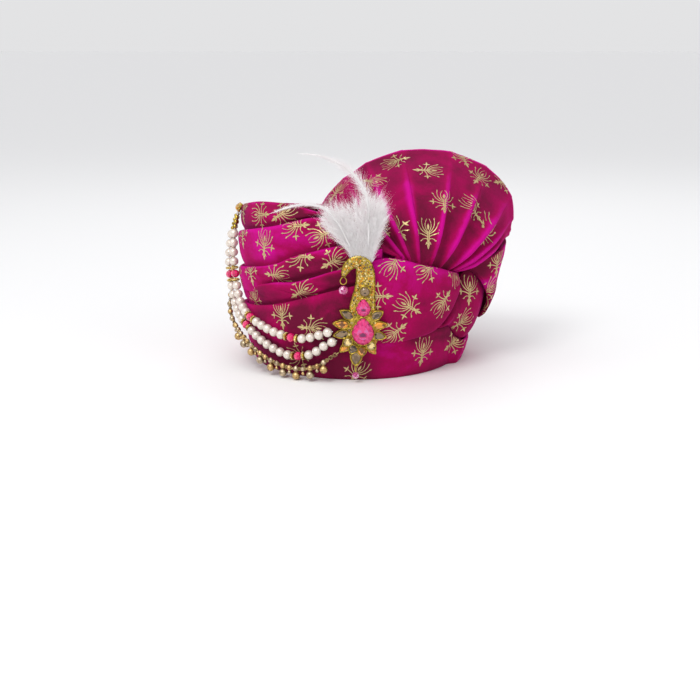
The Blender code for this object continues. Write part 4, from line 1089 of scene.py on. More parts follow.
def follow(grid, wanted, along, aside, i, j):
    """Grid places that lie under wanted points of a tangent plane, and how far off they are."""
    at_i = np.full(wanted.shape[:-1], i)
    at_j = np.full(wanted.shape[:-1], j)
    last_i = grid.shape[0] - 1.001
    last_j = grid.shape[1] - 1.001
    axes = np.stack([along, aside], -1)
    for _ in range(FOLLOW_STEPS):
        here = sample(grid, at_i, at_j)
        miss = (wanted - here) @ axes
        low_i, high_i = np.clip(at_i - 0.5, 0, last_i), np.clip(at_i + 0.5, 0, last_i)
        low_j, high_j = np.clip(at_j - 0.5, 0, last_j), np.clip(at_j + 0.5, 0, last_j)
        step_i = ((sample(grid, high_i, at_j) - sample(grid, low_i, at_j)) @ axes
                  / np.maximum(high_i - low_i, 0.1)[..., None])
        step_j = ((sample(grid, at_i, high_j) - sample(grid, at_i, low_j)) @ axes
                  / np.maximum(high_j - low_j, 0.1)[..., None])
        area = step_i[..., 0] * step_j[..., 1] - step_i[..., 1] * step_j[..., 0]
        area = np.where(np.abs(area) < 0.02, 0.02 * np.sign(area + 1e-9), area)
        move_i = (miss[..., 0] * step_j[..., 1] - miss[..., 1] * step_j[..., 0]) / area
        move_j = (step_i[..., 0] * miss[..., 1] - step_i[..., 1] * miss[..., 0]) / area
        at_i = np.clip(at_i + np.clip(move_i, -6, 6), 0, last_i)
        at_j = np.clip(at_j + np.clip(move_j, -4, 4), 0, last_j)
    off = np.linalg.norm((wanted - sample(grid, at_i, at_j)) @ axes, axis=-1)
    return at_i, at_j, off


def add_motif(shape, grid, faces_out, i, j, direction, seen_from=None):
    """Lay one motif on a grid round a place in it, its axis near a direction in space."""
    i = float(np.clip(i, 4, grid.shape[0] - 5))
    j = float(np.clip(j, 4, grid.shape[1] - 5))

    def near(by_i, by_j):
        return sample(grid, np.array(i + by_i), np.array(j + by_j))

    outward = unit(np.cross(near(4.0, 0.0) - near(-4.0, 0.0), near(0.0, 4.0) - near(0.0, -4.0)))
    middle = near(0.0, 0.0)
    if seen_from is not None:
        outward = unit(outward + 0.8 * unit(seen_from - middle))
    along = unit(direction - outward * np.dot(direction, outward))
    aside = np.cross(outward, along)
    for path, widths in MOTIF_STRIPS:
        run = unit(np.gradient(path, axis=0))
        edge = np.stack([-run[:, 1], run[:, 0]], -1) * widths[:, None] * FOIL_WEIGHT / 2
        flat = np.stack([path + edge, path - edge], 1) * MOTIF
        wanted = middle + flat[..., :1] * along + flat[..., 1:] * aside
        at_i, at_j, off = follow(grid, wanted, along, aside, i, j)
        inside = (off < MOST_OFF).all(-1)
        points = sample(grid, at_i, at_j) + sample(faces_out, at_i, at_j) * FOIL_LIFT
        points[..., 2] = np.maximum(points[..., 2], GROUND_GAP)
        steps = np.linalg.norm(np.diff(points, axis=0), axis=-1).max(-1)
        most = 3.0 * np.linalg.norm(np.diff(path, axis=0), axis=-1) * MOTIF + 0.3
        faces = [(2 * k, 2 * k + 1, 2 * k + 3, 2 * k + 2) for k in range(len(path) - 1)
                 if inside[k] and inside[k + 1] and steps[k] < most[k]]
        if faces:
            shape.add(points, faces)


# Motifs of the front by the pixel of the photo that their middles lie on, with the direction
# that the bud points away from, anticlockwise from the right
FRONT_MOTIFS = {
    "velvet_fan": (
        (429, 170, 0), (395, 162, 200), (373, 181, -35), (463, 157, 100), (480, 177, 50),
        (505, 181, 20), (410, 200, 160), (445, 201, 80), (474, 209, 130), (397, 226, 120),
        (489, 233, 20), (428, 232, 90), (338, 190, 60),
    ),
    "velvet_front_wrap": (
        (393, 264, 235), (427, 269, 200), (454, 273, 300), (408, 305, 150), (442, 303, 225),
        (376, 297, 180), (394, 334, 220),
    ),
    "velvet_wrap_5": (
        (423, 350, 90), (335, 306, 180), (281, 313, 90), (314, 326, 0),
        (298, 355, 200), (357, 372, 60), (455, 342, 20),
    ),
    "velvet_side_panel": ((470, 290, 90), (462, 322, 30)),
    "velvet_side_fold": ((489, 290, 45), (497, 262, 100), (484, 306, 80)),
    "velvet_wrap_1": ((259, 214, 180), (283, 213, 20)),
    "velvet_wrap_2": ((264, 244, 75), (321, 236, 205), (243, 233, 90), (295, 226, 180)),
    "velvet_wrap_3": ((277, 276, 10), (335, 260, 35), (251, 270, 90), (299, 256, 170)),
    "velvet_wrap_4": ((303, 291, 40), (255, 298, 90)),
}
CAMERA_RIGHT = CAMERA_AXES[:, 0]
CAMERA_UP = CAMERA_AXES[:, 1]


def front_print(shape, name, grid, outward):
    """The listed motifs of one piece; gives back the grid places that they take."""
    px, py = photo_place(grid)
    facing = np.einsum("ijk,ijk->ij", outward, grid - CAMERA_PLACE) < 0
    taken = []
    for x, y, degrees in FRONT_MOTIFS.get(name, ()):
        off = np.hypot(px - x, py - y) + np.where(facing, 0.0, 1e6)
        i, j = np.unravel_index(np.argmin(off), off.shape)
        turn = math.radians(degrees)
        direction = CAMERA_RIGHT * math.cos(turn) + CAMERA_UP * math.sin(turn)
        add_motif(shape, grid, outward, i, j, direction, CAMERA_PLACE)
        taken.append(grid[i, j])
    return taken


# Rows of motifs on the sides and the back: first and last grid column, rows, as shares
BACK_PRINT = {
    "velvet_wrap_1": (0.0, 0.80, (0.52,)), "velvet_wrap_2": (0.0, 0.76, (0.46,)),
    "velvet_wrap_3": (0.0, 0.76, (0.46,)), "velvet_wrap_4": (0.0, 0.76, (0.44,)),
    "velvet_wrap_5": (0.0, 0.56, (0.36,)), "velvet_fan": (0.0, 1.0, (0.82, 0.92)),
    "velvet_side_panel": (0.3, 1.0, (0.28, 0.52)),
    "velvet_side_fold": (0.55, 1.0, (0.34, 0.58)),
}


def back_print(shape, name, grid, outward, taken):
    first, last, levels = BACK_PRINT[name]
    count = max(1, round(distances(grid.mean(1))[-1] * (last - first) / MOTIF_COLUMN))
    index = list(clothes).index(name)
    for level_number, level in enumerate(levels):
        for number in range(count):
            offset = 0.25 + 0.5 * ((level_number + index) % 2)
            i = (first + (last - first) * (number + offset) / count) * (grid.shape[0] - 1)
            j = level * (grid.shape[1] - 1)
            spot = grid[int(i), int(j)]
            if all(np.linalg.norm(spot - other) > MOTIF for other in taken):
                turn = math.radians(90 * ((number + level_number) % 4) + 20)
                step, up = (unit(np.gradient(grid, axis=k)[int(i), int(j)]) for k in (0, 1))
                direction = step * math.cos(turn) + up * math.sin(turn)
                add_motif(shape, grid, outward, i, j, direction)
                taken.append(spot)


def foil():
    """All the print in one thin piece that lies on the velvet."""
    shape = Shape()
    for name, grid in clothes.items():
        outward = normals(grid)
        taken = front_print(shape, name, grid, outward)
        if name in BACK_PRINT:
            back_print(shape, name, grid, outward, taken)
    shape.piece("foil_print", [FOIL])


foil()


# Brooch

NECK = (
    # x, y, width as shares of BROOCH_LENGTH
    (0.000, 0.100, 0.240), (-0.005, 0.200, 0.240), (0.005, 0.300, 0.215), (0.015, 0.380, 0.190),
    (0.022, 0.460, 0.175), (0.020, 0.540, 0.165), (0.002, 0.606, 0.150), (-0.045, 0.640, 0.125),
    (-0.098, 0.632, 0.105), (-0.140, 0.595, 0.085), (-0.165, 0.550, 0.060), (-0.176, 0.510, 0.032),
)
PETALS = (
    # x, y, half length, half width as shares, degrees, height in mm
    (-0.140, 0.150, 0.075, 0.048, 150, 4.2), (-0.190, 0.060, 0.078, 0.048, 175, 4.6),
    (-0.190, -0.035, 0.078, 0.046, 190, 4.2), (-0.140, -0.110, 0.052, 0.052, 215, 5.2),
    (-0.165, -0.165, 0.060, 0.040, 222, 3.8), (0.125, 0.145, 0.065, 0.046, 32, 4.2),
    (0.150, 0.050, 0.068, 0.044, 8, 4.6), (0.145, -0.050, 0.068, 0.044, -12, 4.2),
    (0.075, -0.145, 0.052, 0.052, -40, 5.2), (0.080, -0.180, 0.055, 0.036, -50, 3.8),
    (-0.090, -0.175, 0.050, 0.050, 240, 5.2), (-0.010, -0.195, 0.050, 0.050, 270, 5.2),
    (-0.062, -0.262, 0.078, 0.060, 266, 4.6),
)
PLATE = ((0.0, -0.010), (0.155, 0.185))
NECK_PROFILE = ((-1.0, 0.10), (-1.0, 0.55), (-0.86, 0.85), (-0.5, 1.0), (0.0, 1.05),
                (0.5, 1.0), (0.86, 0.85), (1.0, 0.55), (1.0, 0.10))
STONE_SEAT = 0.3
BEZEL = (0.9, 0.75)      # how far the bezel's wire lies outside its stone, and its radius
BEZEL_RIM = (2.4, 0.55)
PAVE_MIX = (0.36, 0.46, 0.18)    # shares of amber, clear and smoky stones
LARGE_PLACE = (0.0, 0.0)
SMALL_PLACE = (0.004, 0.222)
ROUND_PLACE = (0.016, 0.372)
HOOK_TIP = (-0.177, 0.509)
HOOK_RING = 3.4
POINT_TIP = (-0.066, -0.342)
TIP_WIRE_LENGTH = 5.6
HANG = 0.3


def brooch_place(x, y, height):
    """A point of the brooch: x and y as shares of its length, and the height off its back."""
    x, y, height = np.broadcast_arrays(x, y, height)
    lean = math.radians(90 + BROOCH_LEAN)
    back = -(FORM_HALF_DEPTH * float(skin_share(BROOCH_CENTRE_Z)) + FOLD_DEPTH + 0.15)
    return np.stack([
        BROOCH_CENTRE_X + x * BROOCH_LENGTH,
        back + y * BROOCH_LENGTH * math.cos(lean) - height * math.sin(lean),
        BROOCH_CENTRE_Z + y * BROOCH_LENGTH * math.sin(lean) + height * math.cos(lean),
    ], -1)


BROOCH_OUT = unit(brooch_place(0.0, 0.0, 1.0) - brooch_place(0.0, 0.0, 0.0))


def leaf_outline(row, scale, height, sides=22):
    x, y, half_length, half_width, degrees = row[:5]
    a = round_turn(sides)
    ahead = np.maximum(0.0, np.cos(a))
    along = (np.cos(a) + 0.10 * ahead ** 8) * half_length * scale
    across = np.sin(a) * half_width * scale * (1.0 - 0.35 * ahead)
    turn = math.radians(degrees)
    return brooch_place(x + along * math.cos(turn) - across * math.sin(turn),
                        y + along * math.sin(turn) + across * math.cos(turn), height)


def drop_outline(place, size, scale, height, sides=14, shift=0.0):
    """Outline of a pear shape, its point up."""
    a = round_turn(sides, shift)
    up = np.cos(a)
    half = 0.40 * size * scale * np.sin(a) * (1.0 - 0.42 * np.maximum(0.0, up))
    rise = size * scale * 0.5 * up * np.where(up < 0, 1.0, 0.86 + 0.14 * up)
    return brooch_place(place[0] + half / BROOCH_LENGTH, place[1] + rise / BROOCH_LENGTH, height)


def round_outline(place, size, scale, height, sides=16, shift=0.0):
    a = round_turn(sides, shift)
    radius = size / 2 * scale / BROOCH_LENGTH
    return brooch_place(place[0] + radius * np.sin(a), place[1] + radius * np.cos(a), height)


# Outline, place, size and number of claws of the main stones. Their levels say how high girdle,
# bevel and table lie, as shares of the size.
MAIN_STONES = (
    (drop_outline, LARGE_PLACE, LARGE_STONE, 14),
    (drop_outline, SMALL_PLACE, SMALL_STONE, 10),
    (round_outline, ROUND_PLACE, ROUND_STONE, 8),
)
PEAR_LEVELS = (0.10, 0.185, 0.24)
ROUND_LEVELS = (0.14, 0.34, 0.44)


def facet_between(shape, low, high, finish, facet_glints=None):
    """Kite facets between a ring and a ring turned half a step on."""
    sides = len(low)
    faces = []
    for k in range(sides):
        m = (k + 1) % sides
        faces.append((k, sides + k, m))
        faces.append((m, sides + k, sides + m))
    shape.add(np.concatenate([low, high]), faces, finish, facet_glints)


def cut_stone(name, node, outline, place, size, material, levels):
    """A cut stone: flat back, girdle, two rows of crown facets and a table."""
    seat = BROOCH_PLATE + STONE_SEAT
    girdle, bevel, table = levels
    shape = Shape()
    rings = [outline(place, size, 0.90, seat), outline(place, size, 1.0, seat + girdle * size)]
    add_stack(shape, rings, 0, caps=(True, False))
    middle = outline(place, size, 0.82, seat + bevel * size, shift=0.5)
    top = outline(place, size, 0.52, seat + table * size, shift=1.0)
    # Crown facets take alternating light and dark values as painted glints
    facet_between(shape, rings[1], middle, 0, (0.60, 0.44, 0.64, 0.36, 0.55))
    facet_between(shape, middle, top, 0, (0.66, 0.48, 0.72, 0.56, 0.40, 0.70, 0.58))
    # The table is flat: painted reflections give it the look of the facets of the stone's back seen
    # through it, with a painted dark heart and pale painted glints
    centre = brooch_place(*place, seat)
    table_rings = [top] + [outline(place, size, s, seat + table * size, shift=h)
                           for s, h in ((0.44, 0.5), (0.32, 1.0), (0.20, 0.5), (0.10, 1.0))]

    def painted_table_reflection(spot, number):
        across, _, rise = (spot / 3 - centre) / size
        heart = math.exp(-(across / 0.15) ** 4 - ((rise + 0.12) / 0.09) ** 4)
        pale = 0.24 if abs(across) > 0.05 + 0.5 * rise else 0.0
        return 0.66 + pale + 0.04 * (number % 2) - 0.80 * heart

    sides = len(top)
    for low, high in zip(table_rings, table_rings[1:]):
        facet_glints = []
        for k in range(sides):
            after = (k + 1) % sides
            facet_glints.append(painted_table_reflection(low[k] + low[after] + high[k], k))
            facet_glints.append(painted_table_reflection(low[after] + high[k] + high[after], k))
        facet_between(shape, low, high, 0, facet_glints)
    last = table_rings[-1]
    tip = centre + BROOCH_OUT * table * size
    shape.add(np.concatenate([last, [tip]]), [(k, sides, (k + 1) % sides) for k in range(sides)], 0,
              [painted_table_reflection(last[k] + last[(k + 1) % sides] + tip, k) for k in range(sides)])
    take_place(shape, name, [material], node, flat=(0,))


def small_gem(shape, middle, out, width, finish, sides=8, rise=0.42):
    """A little faceted stone set on a place, its table outward."""
    side = unit(np.cross(out, UP if abs(out[2]) < 0.9 else (1.0, 0.0, 0.0)))
    ring = spokes(side, np.cross(side, out), sides)
    rings = [middle + ring * width * 0.50, middle + ring * width * 0.46 + out * width * rise * 0.45,
             middle + ring * width * 0.24 + out * width * rise]
    add_stack(shape, rings, finish, caps=(False, True))


def brooch():
    shape = Shape()
    metal, amber, clear, smoky = range(4)
    fine = resample(NECK, 80)
    path, width = fine[:, :2], fine[:, 2:]
    run = unit(np.gradient(path, axis=0))
    side = np.stack([run[:, 1], -run[:, 0]], -1)
    profile = np.array(NECK_PROFILE)
    across = path[:, None] + side[:, None] * profile[None, :, :1] * width[:, None] / 2
    add_stack(shape, brooch_place(across[..., 0], across[..., 1], profile[:, 1] * BROOCH_PLATE), metal)
    along = distances(path) * BROOCH_LENGTH
    lines = np.concatenate([path, width, side], 1)

    def neck_at(at):
        return [np.interp(at, along, line) for line in lines.T]

    # Beaded edges
    for at in np.arange(0.0, along[-1], EDGE_PITCH):
        x, y, wide, dx, dy = neck_at(at)
        for sign in (-1, 1):
            spot = brooch_place(x + sign * dx * wide * 0.48, y + sign * dy * wide * 0.48,
                                BROOCH_PLATE * 0.72)
            add_ball(shape, spot, EDGE_BEAD, 5, 7, metal, BROOCH_OUT)

    # Pave rows on the neck
    blocked = ((SMALL_PLACE, SMALL_STONE * 0.50), (ROUND_PLACE, ROUND_STONE * 0.62),
               (LARGE_PLACE, LARGE_STONE * 0.55))
    for number, at in enumerate(np.arange(1.0, along[-1] - 1.5, PAVE * 0.92)):
        x, y, wide, dx, dy = neck_at(at)
        room = wide * BROOCH_LENGTH - 2.4
        count = max(1, int(room / PAVE) + number % 2)
        for k in range(count):
            off = (k - (count - 1) / 2) * min(PAVE, room / count)
            px = x + dx * off / BROOCH_LENGTH
            py = y + dy * off / BROOCH_LENGTH
            if all(math.hypot(px - place[0], py - place[1]) * BROOCH_LENGTH >= reach
                   for place, reach in blocked):
                curve = 1.02 - 0.16 * (2 * off / (wide * BROOCH_LENGTH)) ** 2
                gem = rng.choice((amber, clear, smoky), p=PAVE_MIX)
                small_gem(shape, brooch_place(px, py, BROOCH_PLATE * curve - 0.10), BROOCH_OUT,
                          PAVE * 0.84, gem)

    # Plate and petals
    (px, py), (half_x, half_y) = PLATE
    a = round_turn(36)
    add_stack(shape, [brooch_place(px + half_x * s * np.sin(a), py + half_y * s * np.cos(a), h)
                      for s, h in ((1.0, 0.2), (1.0, 2.6), (0.94, 3.2))], metal)
    for number, petal in enumerate(PETALS):
        height = petal[5]
        add_stack(shape, [leaf_outline(petal, s, h) for s, h in (
            (1.0, 0.25), (1.0, 0.62 * height), (0.94, 0.84 * height), (0.80, 0.84 * height),
            (0.74, 0.66 * height))], metal)
        add_tube(shape, leaf_outline(petal, 0.90, 0.84 * height, 30), 0.42, 5, True, metal,
                 up=BROOCH_OUT)
        gem = (smoky, amber, smoky, clear, amber)[number % 5]
        add_stack(shape, [leaf_outline(petal, s, h * height, 10) for s, h in (
            (0.76, 0.66), (0.70, 0.90), (0.38, 1.06))], gem, caps=(False, True))
        for edge in leaf_outline(petal, 0.97, 0.70 * height, PETAL_BEADS):
            add_ball(shape, edge, PETAL_BEAD, 5, 6, metal, BROOCH_OUT)
    # Small stones that fill in between the petals and the bezel
    for k, angle in enumerate(round_turn(FILL_STONES)):
        spot = (0.004 + 0.128 * math.sin(angle), -0.016 + 0.158 * math.cos(angle))
        if spot[1] < 0.10:
            small_gem(shape, brooch_place(*spot, 3.1), BROOCH_OUT, PAVE,
                      (amber, clear, smoky)[k % 3])

    # Bezels and claws of the three main stones
    for outline, place, size, claws in MAIN_STONES:
        seat = BROOCH_PLATE + STONE_SEAT
        for (out, radius), height, sides in ((BEZEL, 0.06 * size, 7), (BEZEL_RIM, -0.4, 6)):
            ring = outline(place, size, 1.0 + out / size, seat + height, sides=40)
            add_tube(shape, ring, radius, sides, True, metal, up=BROOCH_OUT)
        for spot in outline(place, size, 1.0, seat + 0.135 * size, sides=claws):
            add_ball(shape, spot, CLAW, 5, 7, metal, BROOCH_OUT)
    take_place(shape, "brooch_metal", [BROOCH_GOLD, AMBER_STONE, CLEAR_STONE, SMOKY_STONE],
               "brooch_body", flat=(1, 2, 3))
    for name, node, (outline, place, size, _), material, levels, slot in (
            ("pear_stone_large", "brooch_teardrop_large", MAIN_STONES[0], PINK_STONE,
             PEAR_LEVELS, "pink_stone"),
            ("pear_stone_small", "brooch_teardrop_small", MAIN_STONES[1], PINK_STONE,
             PEAR_LEVELS, "pink_stone"),
            ("round_stone_cut", "brooch_round_stone", MAIN_STONES[2], SMOKY_STONE,
             ROUND_LEVELS, "smoky_stone")):
        cut_stone(name, node, outline, place, size, material, levels)


def faceted_bead(name, node, middle, width):
    shape = Shape()
    add_ball(shape, middle, width, 7, 12, squash=0.94)
    take_place(shape, name, [PALE_BEAD], node, flat=(0,))


def brooch_drops():
    """Loop and bead under the hook, wire and bead under the point."""
    turn = math.radians(8)
    side = np.array([math.cos(turn), math.sin(turn), 0.0])
    top = brooch_place(*HOOK_TIP, BROOCH_PLATE / 2)
    middle = top - UP * (HOOK_RING + WIRE / 2 + HANG)
    a = round_turn(32)[:, None]
    narrow = 0.86 - 0.22 * np.maximum(0.0, np.cos(a))
    shape = Shape()
    add_tube(shape, middle + (side * np.sin(a) * narrow + UP * np.cos(a)) * HOOK_RING,
             WIRE * 0.42, 7, True, up=np.cross(side, UP))
    add_tube(shape, [middle - UP * HOOK_RING * 0.8, middle - UP * (HOOK_RING + 1.6)],
             WIRE * 0.35, 6)
    take_place(shape, "hook_loop", [BROOCH_GOLD], "hook_ring")
    drop = HOOK_RING + WIRE / 2 + HANG + HOOK_BEAD / 2
    faceted_bead("hook_rose_bead", "hook_bead", middle - UP * drop, HOOK_BEAD)
    start = brooch_place(*POINT_TIP, BROOCH_PLATE / 2) - UP * 0.2
    shape = Shape()
    add_tube(shape, start - UP * np.linspace(0.0, TIP_WIRE_LENGTH, 10)[:, None], WIRE * 0.40, 7,
             up=(0, 1, 0))
    for height in (0.6, TIP_WIRE_LENGTH - 0.5):
        add_ball(shape, start - UP * height, WIRE * 1.5, 6, 8)
    take_place(shape, "tip_wire_fine", [BROOCH_GOLD], "tip_wire")
    faceted_bead("tip_rose_bead", "tip_bead", start - UP * (TIP_WIRE_LENGTH + HANG + TIP_BEAD / 2),
                 TIP_BEAD)


# Strings of pearls, the chain and their clasp

STRING_ROUTES = {
    # angle, height, stand-off from the form
    "upper": (
        (-81.3, 144.8, 11.8), (-80.5, 122, 13.2), (-80, 100, 13.3), (-79, 80, 13.0),
        (-74, 63, 12.8), (-65, 53, 12.8), (-52, 46.5, 12.6), (-38, 41, 12.4), (-25, 40, 12.4),
        (-12.6, 48, 12.6), (-10.0, 49.2, 12.6),
    ),
    "lower": (
        (-88.5, 144.1, 11.8), (-89.5, 122, 15.5), (-88, 98, 18), (-86, 76, 18), (-82, 59, 16.5),
        (-74, 47, 15), (-62, 38.5, 13.6), (-48, 28.5, 13), (-34, 22, 13), (-22, 25, 13),
        (-12.8, 37, 13), (-8.2, 40.8, 13),
    ),
    "chain": (
        (-95.7, 143.4, 11.8), (-98.5, 110, 16), (-98, 84, 18.5), (-94, 64, 20), (-85, 49, 21.5),
        (-72, 37.5, 21), (-59, 27.5, 20.5), (-47, 17.5, 19.5), (-37, 12, 18.5),
        (-27, 10.8, 18), (-18, 15, 17), (-11.5, 24, 15.5), (-7.4, 29.5, 14.4),
    ),
    "clasp": ((-78.5, 148.5, 11.8), (-88, 147.5, 11.8), (-98.5, 146.5, 11.8)),
}
CHAIN_END = 8.6          # the chain's last links, between its last drop and the brooch
PEARL_RUNS = {"upper": (4, 5, 5, 4), "lower": (4, 6, 7, 4)}


def route(name):
    """Places along a string, by distance from its start, with the directions there."""
    rows = STRING_ROUTES[name]
    points = on_form(*resample(rows, len(rows) * 40).T)
    along = distances(points)

    def place(at):
        return np.stack([np.interp(at, along, points[:, k]) for k in range(3)], -1)

    def run(at):
        return unit(place(at + 1.0) - place(at - 1.0))

    return place, run, along[-1]


def rondelle(shape, middle, run, metal, gem):
    """A thin gold wheel with small stones round its rim."""
    other = unit(np.cross(run, (0.3, 0.2, 0.9)))
    ring = spokes(other, np.cross(run, other), 20)
    rings = [middle + run * RONDELLE * x + ring * RONDELLE_WIDTH * r for x, r in (
        (-0.46, 0.20), (-0.44, 0.38), (-0.34, 0.45), (-0.16, 0.40), (0.16, 0.40),
        (0.34, 0.45), (0.44, 0.38), (0.46, 0.20))]
    add_stack(shape, rings[::-1], metal)
    for out in ring[::2]:
        small_gem(shape, middle + out * RONDELLE_WIDTH * 0.40, out, RIM_GEM, gem)


def pearl_string(which):
    place, run, length = route(which)
    pieces = []
    for number, count in enumerate(PEARL_RUNS[which]):
        if number:
            pieces += [("rondelle", RONDELLE), ("bead", PEARL), ("rondelle", RONDELLE)]
        pieces += [("pearl", PEARL)] * count
    total = sum(size for kind, size in pieces)
    pitch = min(1.04, (length - 2.0) / total)
    first = at = length - total * pitch - 0.6
    shape = Shape()
    pearl, metal, gem, bead, thread = range(5)
    for kind, size in pieces:
        middle = at + size * pitch / 2
        spot = place(middle)
        way = run(middle)
        if kind == "rondelle":
            rondelle(shape, spot, way, metal, gem)
        elif kind == "bead":
            add_ball(shape, spot, PEARL * 0.95, 8, 12, bead, way, 0.96)
        else:
            add_ball(shape, spot, PEARL * 0.98, 16, 24, pearl, way, 0.98)
        at += size * pitch
    for at in np.arange(5.5, first - 1.5, 4.4):
        add_ball(shape, place(at), 4.0, 8, 12, metal, run(at))
    add_tube(shape, place(np.linspace(0, length, 120)), THREAD / 2, 6, finish=thread)
    take_place(shape, f"pearls_{which}", [PEARLS, BROOCH_GOLD, CLEAR_STONE, PINK_BEAD, FEATHER],
               f"pearl_string_{which}", flat=(2, 3))


def add_link(shape, middle, run, across, length, width, wire):
    a = round_turn(12)[:, None]
    straight = np.sign(np.cos(a)) * (length - width) / 2
    path = middle + run * (straight + np.cos(a) * width / 2) + across * np.sin(a) * width / 2
    add_tube(shape, path, wire / 2, 5, True, up=np.cross(run, across))


def drop_chain():
    place, run, length = route("chain")
    shape = Shape()

    def bead_pair(at, reach):
        for sign in (-1, 1):
            add_ball(shape, place(at + sign * reach), SPACER, 6, 10, 0, run(at), 0.6)

    for k, at in enumerate(np.arange(1.5, length - 1.0, LINK_PITCH)):
        spot = place(at)
        way = run(at)
        across = unit(np.cross(way, away(spot)))
        add_link(shape, spot, way, np.cross(way, across) if k % 2 else across, *LINK)
    length -= CHAIN_END
    number = int((length - CHAIN_BARE) / DROP_PITCH)
    for k in range(number):
        at = length - 9.0 - k * DROP_PITCH
        amber, smoky = ((1, 2), (2, 1))[k % 2]
        top = place(at)
        add_ball(shape, top, TOP_BEAD, 10, 14, smoky)
        add_link(shape, top - UP * 1.5, UP, run(at), *DROP_LINK)
        low = top - UP * DROP_LENGTH
        add_ball(shape, low, DROP_BEAD, 12, 16, amber)
        add_ball(shape, low + UP * DROP_BEAD * 0.47, 2.4, 6, 10, squash=0.5)
        add_ball(shape, low - UP * DROP_BEAD * 0.45, 1.1, 6, 8)
        half = place(at - DROP_PITCH / 2)
        add_ball(shape, half, HALF_BEAD, 10, 14, amber)
        add_ball(shape, half - UP * 4.3, LOW_BEAD, 8, 12, smoky)
        bead_pair(at, 3.6)
    for k, at in enumerate(np.arange(14.0, length - 9.0 - number * DROP_PITCH + 6.0, 13.0)):
        spot = place(at)
        add_ball(shape, spot + away(spot) * 0.4, TOP_BEAD, 10, 14, 1 + k % 2)
        bead_pair(at, 3.1)
    take_place(shape, "chain_fine", [ANTIQUE_GOLD, DROP_GOLD, SMOKY_METAL], "drop_chain")


def clasp():
    place, _, length = route("clasp")
    shape = Shape()
    add_tube(shape, place(np.linspace(0, length, 24)), 1.0, 8)
    for share in (0.14, 0.5, 0.86):
        middle = place(length * share)
        outward = away(middle)
        side = unit(np.cross(outward, UP))
        add_ball(shape, middle, CLASP_STUD * 0.86, 10, 16, 0, outward)
        for tilt, count in ((0.0, 1), (0.75, 6), (1.35, 9)):
            for k, spoke in enumerate(spokes(side, np.cross(side, outward), count)):
                way = outward * math.cos(tilt) + spoke * math.sin(tilt)
                small_gem(shape, middle + way * CLASP_STUD * 0.40, way, RIM_GEM,
                          1 + (k + count) % 2)
    take_place(shape, "clasp_fine", [BROOCH_GOLD, CLEAR_STONE, AMBER_STONE], "string_clasp",
               flat=(1, 2))


# Plume: locks of down fan out from the brooch's head, each with hairs all along it

PLUME_BASE = (-0.050, 0.697, 2.6)
LOCKS = (
    # tip across and up as shares of the plume's width and height
    (-0.50, 0.62), (-0.46, 0.82), (-0.32, 0.88), (-0.14, 0.94), (0.06, 1.04), (0.24, 1.10),
    (0.36, 1.04), (0.40, 0.80),
)
PLUME_FOOT = (5.0, 8.0)  # middle of the locks' feet from the brooch's head, and half their spread
FEATHER_TALL = (
    # across over PLUME_WIDTH, up over PLUME_HEIGHT
    (0.14, 0.18), (0.15, 0.45), (0.14, 0.80), (0.07, 1.08), (-0.06, 1.28), (-0.24, 1.44),
    (-0.50, 1.56), (-0.80, 1.60),
)
FEATHER_SIDE = (
    (-0.10, 0.16), (-0.26, 0.52), (-0.44, 0.75), (-0.66, 0.815), (-0.90, 0.78), (-1.18, 0.67),
)
FEATHER_LIFT = PLUME_DEPTH * 0.46 + 0.8


def add_hairs(shape, roots, ways, bends, sizes, width):
    """Thin tapering ribbons from roots, each turning from its way towards its bend."""
    t = np.linspace(0, 1, 6)[None, :, None]
    path = roots[:, None] + (ways[:, None] * t + bends[:, None] * t ** 2) * sizes[:, None, None]
    run = unit(np.gradient(path, axis=1))
    spin = unit(rng.normal(size=roots.shape))[:, None]
    side = unit(np.cross(run, spin)) * (width * (1.05 - t))
    faces = [(base, base + 1, base + 3, base + 2) for first in range(0, len(roots) * 12, 12)
             for base in range(first, first + 10, 2)]
    shape.add(np.stack([path + side / 2, path - side / 2], 2), faces)


def down_lock(shape, path, start, end, count, reach, tilt, width=0.30, depth=0.5):
    """Hairs from both sides of a path, longest in its middle part."""
    at = rng.uniform(start, end, count)
    even = np.linspace(0, 1, len(path))
    run = unit(np.gradient(path, axis=0))
    places, ways = (np.stack([np.interp(at, even, line) for line in lines.T], -1)
                    for lines in (path, run))
    ways = unit(ways)
    side = unit(np.cross(ways, (0.0, 1.0, 0.0))) * rng.choice((-1, 1), count)[:, None]
    deep = np.stack([np.zeros(count), rng.normal(0, depth, count), np.zeros(count)], -1)
    lean = rng.normal(tilt, 0.22, count)[:, None]
    first = unit(ways * np.cos(lean) + (side + deep) * np.sin(lean))
    bend = unit(ways + rng.normal(0, 0.35, (count, 3))) * 0.45
    size = reach(at) * rng.uniform(0.55, 1.2, count)
    add_hairs(shape, places, first, bend, size, width)


